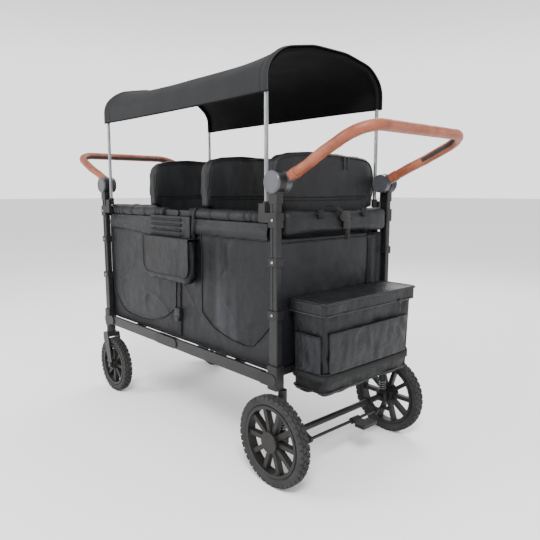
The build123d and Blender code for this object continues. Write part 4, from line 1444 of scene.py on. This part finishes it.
# ---------------------------------------------------------------- bags
@dataclass
class SidePouch:
    """The pouch on the left wall: a soft body with rounded lower corners under a flap."""

    low: float = -0.153
    high: float = 0.135
    base: float = 0.523
    top: float = 0.680
    inner: float = -0.2455
    outer: float = -0.2850
    panel_width: float = 0.250
    panel_height: float = 0.078

    def outline(self, inset: float, base: float, top: float, corner: float) -> list[Vector]:
        """The outline in the plane of the wall, with rounded lower corners.

        Args:
            inset: how far its sides move inwards.
            base: its lowest height.
            top: its highest height.
            corner: the radius of its lower corners.

        Returns:
            The points.
        """
        low, high = self.low + inset, self.high - inset
        corners = [Vector((x, 0, z)) for x, z in ((low, top), (low, base), (high, base), (high, top))]
        return rounded_path(corners, [corner, corner], 6)

    def hanging(self, u: float, v: float) -> Vector:
        """A point on the panel between the rail and the flap.

        Args:
            u: from 0 to 1 along the panel.
            v: from 0 to 1 up it.

        Returns:
            The point.
        """
        x, z = self.low + 0.003 + self.panel_width * u, 0.672 + self.panel_height * v
        wave = 0.0016 * ripple(Vector((x, 0, z)), 26.0, 6.0)
        return Vector((x, -0.2562 + 0.0030 * v + wave, z))

    def build(self) -> None:
        """Build the body, the flap, the piping and the panel that it hangs from."""
        body = [point + Vector((0, self.inner, 0))
                for point in self.outline(0.004, self.base, self.top - 0.006, 0.040)]
        pouch = Stuffing(cap=0.004, voxel=0.004).puff(
            prism(body, Vector((0, self.outer - self.inner + 0.006, 0)), 0.010), "pouch")
        crinkle(pouch, 0.0012, 26.0, 3.0)
        pouch = to_object(pouch, "pouch_body", Kit.cloth, "rear_end")
        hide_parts("side_pouch")
        shape = [point + Vector((0, self.outer + 0.001, 0))
                 for point in self.outline(0.0, 0.548, self.top, 0.034)]
        flap = prism(shape, Vector((0, -0.0030, 0)), 0.0008)
        top = block(Vector((self.low, self.outer - 0.002, self.top - 0.003)),
                    Vector((self.high, self.inner, self.top)), 0.0012, 2)
        flap = to_object(joined([flap, top]), "pouch_flap", Kit.bag, "rear_end")
        rim = [point + Vector((0, self.outer - 0.0018, 0))
               for point in self.outline(0.0015, 0.5495, self.top, 0.034)]
        piping = to_object(cord_mesh(even_path(rim, 60), 0.0020), "pouch_piping", Kit.dark_piping, "rear_end")
        panel = to_object(cloth_grid(60, 20, self.hanging), "pouch_panel", Kit.bag, "rear_end",
                          outward=Vector((0, -1, 0)))
        solidify(panel, 0.0018)
        tapes = []
        for height in (0.15, 0.38, 0.61, 0.84):
            path = [self.hanging(u, height) + Vector((0, -0.0016, 0)) for u in span(0.02, 0.80, 30)]
            tapes.append(strap(path, 0.0085, 0.0016, Vector((0, 0, 1))))
        path = [Vector((0.120, y, z)) for y, z in ((-0.2580, 0.690), (-0.2570, 0.720), (-0.2550, 0.745),
                                                   (-0.2525, 0.765), (-0.2440, 0.779), (-0.2320, 0.7815))]
        tapes.append(strap(path, 0.012, 0.0018, Vector((1, 0, 0))))
        hangers = to_object(joined(tapes), "pouch_hangers", Kit.webbing, "rear_end")
        for piece in (panel, pouch, flap, piping, hangers):
            fold_flat(piece)
        LOG.info("side pouch")


@dataclass
class StorageBag:
    """The bag at the rear end: a soft open box with pockets, bands and piping, and its zipped lid."""

    x0: float = 0.5245
    x1: float = 0.6535
    half: float = 0.2088
    z0: float = 0.264
    z1: float = 0.530
    pocket_foot: float = 0.338
    rear_pocket: tuple[float, float] = (0.372, 0.112)
    rear_pocket_cut: tuple[float, float] = (0.400, 0.120)
    side_pocket: tuple[float, float] = (0.100, 0.104)
    side_pocket_cut: tuple[float, float] = (0.112, 0.112)

    def face(self, point: Vector) -> Vector:
        """Taper a point of the box towards its foot.

        Args:
            point: a point of the straight box.

        Returns:
            The tapered point.
        """
        height = (point.z - self.z0) / (self.z1 - self.z0)
        wide = 0.955 + 0.045 * height
        x = self.x0 + (point.x - self.x0) * (0.97 + 0.03 * height)
        return Vector((x, point.y * wide, point.z))

    def build(self) -> None:
        """Build the bag and its lid."""
        low, high = Vector((self.x0, -self.half, self.z0)), Vector((self.x1, self.half, self.z1 + 0.02))
        shell = soft_block(low, high, 0.016, 34)
        above = [face for face in shell.faces if face.calc_center_median().z > self.z1 - 0.001]
        bmesh.ops.delete(shell, geom=above, context="FACES")
        shell.normal_update()
        for vert in shell.verts:
            bulge = 0.0056 * ripple(vert.co, 9.0, 2.0) + 0.0044 * ripple(vert.co, 24.0, 5.0)
            bulge -= 0.0040 * max(0.0, 1 - abs(ripple(vert.co, 10.0, 8.0)) * 8)
            vert.co = self.face(vert.co + vert.normal * (bulge - 0.004))
        shell = to_object(shell, "bag_shell", Kit.bag, "rear_end")
        solidify(shell, 0.0024)
        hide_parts("storage_bag")
        self.build_pockets()
        self.build_bands()
        self.build_lid()
        LOG.info("storage bag")

    def build_pockets(self) -> None:
        """Puffy pockets with gathered tops on the rear face and on both short sides."""
        def rear(u: float, v: float) -> Vector:
            """A point of the pocket on the rear face."""
            y = self.rear_pocket[0] * (u - 0.5)
            z = self.pocket_foot + self.rear_pocket[1] * v
            bulge = 0.0085 * (sin(pi * u) ** 0.4) * (0.35 + 0.65 * sin(pi * min(0.5 + 0.42 * v, 1.0)))
            bulge += 0.0030 * ripple(Vector((0, y, z * 0.3)), 34.0 + 10 * v, 3.0)
            return self.face(Vector((self.x1 + 0.0005 + bulge, y, z)))

        def short(sign: int) -> Place:
            """The pocket on one short side, as a function of its grid."""
            def place(u: float, v: float) -> Vector:
                """A point of the pocket."""
                x = self.x0 + 0.018 + self.side_pocket[0] * u
                z = self.pocket_foot + self.side_pocket[1] * v
                bulge = 0.0060 * (sin(pi * u) ** 0.4) * (0.35 + 0.65 * sin(pi * min(0.5 + 0.42 * v, 1.0)))
                bulge += 0.0020 * ripple(Vector((x, 0, z * 0.3)), 40.0, sign)
                return self.face(Vector((x, sign * (self.half + 0.0005 + bulge), z)))
            return place

        pocket = to_object(cloth_grid(90, 30, rear), "bag_pocket_rear", Kit.gather, "rear_end",
                           outward=Vector((1, 0, 0)))
        solidify(pocket, 0.0016)
        rims = [cord_mesh([rear(u, 1.0) + Vector((0.0006, 0, 0)) for u in span(0.0, 1.0, 60)], 0.0030)]
        for side in Side:
            place = short(side.value)
            piece = to_object(cloth_grid(40, 30, place), f"bag_pocket_{side.name.lower()}", Kit.gather,
                              "rear_end", outward=Vector((0, side.value, 0)))
            solidify(piece, 0.0016)
            rims.append(cord_mesh([place(u, 1.0) for u in span(0.0, 1.0, 24)], 0.0028))
        to_object(joined(rims), "bag_pocket_hems", Kit.dark_piping, "rear_end")

    def loop(self, z: float, lift: float) -> list[Vector]:
        """A closed line around the bag at one height.

        Args:
            z: its height.
            lift: how far it stands off the bag.

        Returns:
            The points, with the first again at the end.
        """
        low, high, wide, corner = self.x0 + 0.001, self.x1 + lift, self.half + lift, 0.014
        corners = [Vector((low, 0, z)), Vector((low, -wide, z)), Vector((high, -wide, z)),
                   Vector((high, wide, z)), Vector((low, wide, z)), Vector((low, 0, z))]
        return [self.face(point) for point in even_path(rounded_path(corners, [corner] * 4), 90)]

    def build_bands(self) -> None:
        """The band near the foot and the piping along the edges."""
        band = self.loop(0.322, 0.0016)
        bm = bmesh.new()
        rows = [[bm.verts.new(point + Vector((0, 0, rise))) for rise in (-0.011, 0.0, 0.011)]
                for point in band[:-1]]
        for first, second in zip(rows, rows[1:] + rows[:1]):
            for low in (0, 1):
                bm.faces.new((first[low], first[low + 1], second[low + 1], second[low]))
        bmesh.ops.recalc_face_normals(bm, faces=bm.faces)
        tape = to_object(bm, "bag_band", Kit.webbing, "rear_end")
        solidify(tape, 0.0022, 0.0)
        trims = [cord_mesh(self.loop(z, 0.0005)[:-1], 0.0022, closed=True) for z in (0.2830, 0.336)]
        for side in Side:
            edge = [self.face(Vector((self.x1 - 0.0075, side.value * (self.half - 0.0075), z)))
                    for z in span(0.278, 0.524, 20)]
            trims.append(cord_mesh(edge, 0.0024))
        to_object(joined(trims), "bag_piping", Kit.dark_piping, "rear_end")

    def build_lid(self) -> None:
        """The sagging lid with its skirt, piping and zip."""
        low, high = Vector((0.5265, -0.2145, 0.5304)), Vector((0.6620, 0.2145, 0.5400))
        top = soft_block(low, high, 0.0045, 34)
        for vert in top.verts:
            u = (vert.co.x - low.x) / (high.x - low.x)
            v = (vert.co.y - low.y) / (high.y - low.y)
            sag = 0.0055 * (max(0.0, sin(pi * u) * sin(pi * v)) ** 0.6)
            vert.co.z += -sag + 0.0016 * ripple(vert.co, 18.0, 2.0) * min(1.0, 3 * sag / 0.0055)
        lid = to_object(top, "lid_cloth", Kit.bag, "bag_lid")
        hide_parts("bag_lid")
        corners = [Vector((0.5275, -0.2130, 0)), Vector((0.6595, -0.2130, 0)), Vector((0.6595, 0.2130, 0)),
                   Vector((0.5275, 0.2130, 0))]
        path = even_path(rounded_path(corners, [0.014, 0.014]), 110)
        bm = bmesh.new()
        rows = []
        for point in path:
            wave = 0.0016 * ripple(point, 28.0, 7.0)
            rows.append([bm.verts.new(point + Vector((wave, wave * 0.5, 0.536 - 0.0085 * step)))
                         for step in range(5)])
        for first, second in zip(rows, rows[1:]):
            for step in range(4):
                bm.faces.new((first[step], first[step + 1], second[step + 1], second[step]))
        skirt = to_object(bm, "lid_skirt", Kit.bag, "bag_lid", outward=Vector((1, 0, 0)))
        solidify(skirt, 0.0016, 0.0)
        teeth = cord_mesh([point + Vector((0.0004, 0, 0.5025)) for point in path], 0.0026)
        to_object(teeth, "lid_zip", Kit.zip, "bag_lid")
        rim = [Vector((point.x + 0.0010, point.y * 1.004, 0.5375)) for point in path]
        to_object(cord_mesh(rim, 0.0026), "lid_piping", Kit.dark_piping, "bag_lid")
        puller = joined([
            block(Vector((0.6615, 0.120, 0.495)), Vector((0.6645, 0.134, 0.507)), 0.0012, 2),
            block(Vector((0.6620, 0.124, 0.469)), Vector((0.6640, 0.130, 0.497)), 0.0008, 2),
        ])
        to_object(puller, "lid_puller", Kit.plastic, "bag_lid")


# ---------------------------------------------------------------- handles
@dataclass
class PushHandle:
    """The leather sleeve of one push handle, with its grey strip and its stitching."""

    end: End
    pivot: tuple[float, float] = (0.511, 0.858)
    angle: float = radians(25)
    radius: float = 0.0148
    corners: tuple[tuple[float, float], ...] = ((0.060, -0.22635), (0.110, -0.22635), (0.165, -0.236),
                                                (0.315, -0.236), (0.315, 0.236), (0.165, 0.236),
                                                (0.110, 0.22635), (0.060, 0.22635))
    bends: tuple[float, ...] = (0.140, 0.140, 0.070, 0.070, 0.140, 0.140)

    def path(self, inward: float, lift: float, count: int) -> list[Vector]:
        """The tube's centreline, moved towards the middle of the loop and up from its plane.

        Args:
            inward: how far it moves towards the middle.
            lift: how far it moves up.
            count: how many points to give.

        Returns:
            The points.
        """
        flat = rounded_path([Vector((reach, y, 0)) for reach, y in self.corners], self.bends, 12)
        flat = even_path(flat, count)
        ahead = Vector((self.end.value * cos(self.angle), 0, sin(self.angle)))
        up = Vector((-self.end.value * sin(self.angle), 0, cos(self.angle)))
        base = Vector((self.end.value * self.pivot[0], 0, self.pivot[1]))
        found = []
        for index, point in enumerate(flat):
            along = flat[min(index + 1, count - 1)] - flat[max(index - 1, 0)]
            inside = Vector((-along.y, along.x, 0)).normalized()
            place = point + inside * inward
            found.append(base + ahead * place.x + Vector((0, place.y, 0)) + up * lift)
        return found

    def cuff(self, side: Side) -> list[Vector]:
        """The short straight run that covers one arm's socket.

        Args:
            side: which arm.

        Returns:
            The points.
        """
        ahead = Vector((self.end.value * cos(self.angle), 0, sin(self.angle)))
        base = Vector((self.end.value * self.pivot[0], side.value * 0.22635, self.pivot[1]))
        return [base + ahead * reach for reach in span(0.0400, 0.0640, 6)]

    def build(self) -> None:
        """Build the sleeve, strip and stitches."""
        body, word = f"handle_{self.end.word}", self.end.word
        sleeve_mesh = cord_mesh(self.path(0.0, 0.0, 180), self.radius, smooth=False)
        crinkle(sleeve_mesh, 0.0005, 60.0, 2.0)
        leather = to_object(sleeve_mesh, f"handle_leather_{word}", Kit.leather, body)
        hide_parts(f"handle_{word}_wrap")
        cuffs = [cord_mesh(self.cuff(side), 0.0166, smooth=False) for side in Side]
        to_object(joined(cuffs), f"handle_cuffs_{word}", Kit.leather, body)
        strip = self.path(0.0078, 0.0, 180)[20:-20]
        to_object(cord_mesh(strip, 0.0082, smooth=False), f"handle_strip_{word}", Kit.grip_strip, body)
        rows = [cord_mesh(self.path(0.0112, lift, 180)[18:-18], 0.0011, smooth=False)
                for lift in (-0.0094, 0.0094)]
        to_object(joined(rows), f"handle_stitches_{word}", Kit.leather, body)
        LOG.info("handle %s", word)


# ---------------------------------------------------------------- wheels
@dataclass
class Tyre:
    """A solid tyre with chunky staggered lugs and cut shoulders."""

    name: str
    centre: Vector
    radius: float
    inner: float
    width: float
    lugs: int

    def build(self) -> None:
        """Build the carcass and its lugs."""
        half, base = self.width / 2, self.radius - 0.0030
        wall = self.radius - self.inner
        profile = [(self.inner + 0.0004, -half * 0.70), (self.inner + wall * 0.25, -half * 0.86),
                   (self.inner + wall * 0.50, -half * 0.94), (base - 0.006, -half * 0.88),
                   (base - 0.0015, -half * 0.68), (base, -half * 0.35), (base, half * 0.35),
                   (base - 0.0015, half * 0.68), (base - 0.006, half * 0.88),
                   (self.inner + wall * 0.50, half * 0.94), (self.inner + wall * 0.25, half * 0.86),
                   (self.inner + 0.0004, half * 0.70)]
        parts = [spun(profile, self.centre)]
        pitch = 2 * pi / self.lugs
        arc = pitch * self.radius
        rows = ((-0.30, 0.0, 0.52, 0.78), (0.30, 0.5, 0.52, 0.78))
        for across, shift, wide, long in rows:
            lug = block(Vector((base - 0.003, half * (across - wide / 2), -arc * long / 2)),
                        Vector((self.radius, half * (across + wide / 2), arc * long / 2)), 0.0012, 1)
            parts += self.around(lug, pitch, shift)
        for sign in (-1, 1):
            shoulder = block(Vector((base - 0.0100, -half * 0.17, -arc * 0.39)),
                             Vector((self.radius - 0.0014, half * 0.17, arc * 0.39)), 0.0012, 1)
            for vert in shoulder.verts:
                drop = (self.radius - vert.co.x) / 0.016
                vert.co.y += sign * half * (0.72 + 0.09 * min(drop, 1.0))
            parts += self.around(shoulder, pitch, 0.5 if sign < 0 else 0.0)
        tyre = to_object(joined(parts), f"{self.name}_rubber", Kit.rubber, self.name)
        for face in tyre.data.polygons:
            face.use_smooth = len(face.vertices) == 4
        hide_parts(f"{self.name}_tyre")
        LOG.info("tyre %s", self.name)

    def around(self, shape: bmesh.types.BMesh, pitch: float, shift: float) -> list[bmesh.types.BMesh]:
        """Copies of a lug all the way around.

        Args:
            shape: the lug at the first place, which is freed.
            pitch: the angle from one to the next.
            shift: a share of the pitch to turn them all by.

        Returns:
            The copies.
        """
        copies = []
        for number in range(self.lugs):
            turn = Matrix.Translation(self.centre) @ Matrix.Rotation(pitch * (number + shift), 4, "Y")
            copies.append(moved(shape, turn))
        shape.free()
        return copies


@dataclass
class CoilSprings:
    """The two coil springs of the rear suspension."""

    x: float = 0.528
    y: float = 0.239
    low: float = 0.1513
    high: float = 0.1897
    turns: float = 4.5
    coil: float = 0.0104
    wire: float = 0.0018

    def build(self) -> None:
        """Build both coils."""
        coils = []
        for side in Side:
            path = []
            for share in span(0.0, 1.0, 120):
                angle = 2 * pi * self.turns * share
                x, y = self.x + self.coil * cos(angle), side.value * self.y + self.coil * sin(angle)
                z = self.low + self.wire + (self.high - self.low - 2 * self.wire) * share
                path.append(Vector((x, y, z)))
            coils.append(cord_mesh(path, self.wire, smooth=False))
        springs = to_object(joined(coils), "coils", Kit.tube, "rear_end")
        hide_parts("suspension_springs")
        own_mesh(springs)
        LOG.info("coil springs")


# ---------------------------------------------------------------- studio
class Studio:
    """A pale floor, soft light and the camera."""

    def build(self) -> None:
        """Set the stage."""
        world = bpy.data.worlds.new("studio")
        world.use_nodes = True
        tree = world.node_tree
        coords = tree.nodes.new("ShaderNodeTexCoord")
        split = tree.nodes.new("ShaderNodeSeparateXYZ")
        ramp = tree.nodes.new("ShaderNodeValToRGB")
        stops = ramp.color_ramp.elements
        stops[0].position, stops[0].color = 0.20, (1.0, 1.0, 1.0, 1.0)
        stops[1].position, stops[1].color = 0.42, (0.34, 0.34, 0.35, 1.0)
        top = stops.new(0.85)
        top.color = (0.80, 0.80, 0.80, 1.0)
        tree.links.new(coords.outputs["Generated"], split.inputs["Vector"])
        tree.links.new(split.outputs["Z"], ramp.inputs["Fac"])
        tree.links.new(ramp.outputs["Color"], tree.nodes["Background"].inputs["Color"])
        tree.nodes["Background"].inputs["Strength"].default_value = 2.0
        bpy.context.scene.world = world
        floor = Shader("studio floor", (0.93, 0.93, 0.93), 0.9)
        floor.tint(floor.noise(0.6, 1.0), (0.92, 0.92, 0.92), (0.94, 0.94, 0.94), (0.3, 0.7))
        bm = bmesh.new()
        bmesh.ops.create_grid(bm, x_segments=1, y_segments=1, size=60.0)
        mesh = bpy.data.meshes.new("floor")
        bm.to_mesh(mesh)
        bm.free()
        mesh.materials.append(floor.material)
        ground = bpy.data.objects.new("floor", mesh)
        bpy.context.scene.collection.objects.link(ground)
        self.light("key", (2.6, -2.2, 3.4), 1.2, 210.0)
        self.light("side", (-1.6, -3.4, 1.9), 1.2, 90.0)
        self.light("back", (-1.0, 2.6, 3.0), 2.4, 70.0)
        lens = bpy.data.cameras.new("camera")
        lens.lens = 36.0
        lens.sensor_width = 36.0
        camera = bpy.data.objects.new("camera", lens)
        camera.location = (1.5909, -1.2573, 0.8338)
        camera.rotation_euler = (radians(90 - 8.31), 0.0, radians(47.61))
        bpy.context.scene.collection.objects.link(camera)
        bpy.context.scene.camera = camera

    def light(self, name: str, place: Triple, size: float, power: float) -> None:
        """A square soft light that faces the wagon.

        Args:
            name: its name.
            place: where it stands.
            size: the length of its sides.
            power: its power in watts.
        """
        data = bpy.data.lights.new(name, "AREA")
        data.size = size
        data.energy = power
        lamp = bpy.data.objects.new(name, data)
        lamp.location = place
        lamp.rotation_euler = (Vector((0.0, 0.0, 0.6)) - Vector(place)).to_track_quat("-Z", "Y").to_euler()
        bpy.context.scene.collection.objects.link(lamp)


def main() -> None:
    """Build the whole wagon."""
    logging.basicConfig(level=logging.INFO, format="%(message)s")
    FrameFinishes().build()
    CanopyCover().build()
    for side in Side:
        TubWall(side).build()
    for end in End:
        RailSleeves(end).build()
        PushHandle(end).build()
    EndDressing().build()
    SeatRow().build()
    TubFloor().build()
    SidePouch().build()
    StorageBag().build()
    for side in Side:
        word = side.name.lower()
        rear, front = Vector((0.528, side.value * 0.274, 0.132)), Vector((-0.478, side.value * 0.250, 0.112))
        Tyre(f"wheel_rear_{word}", rear, 0.132, 0.104, 0.036, 40).build()
        Tyre(f"wheel_front_{word}", front, 0.112, 0.086, 0.036, 34).build()
    CoilSprings().build()
    Studio().build()


if __name__ == "__main__":
    main()
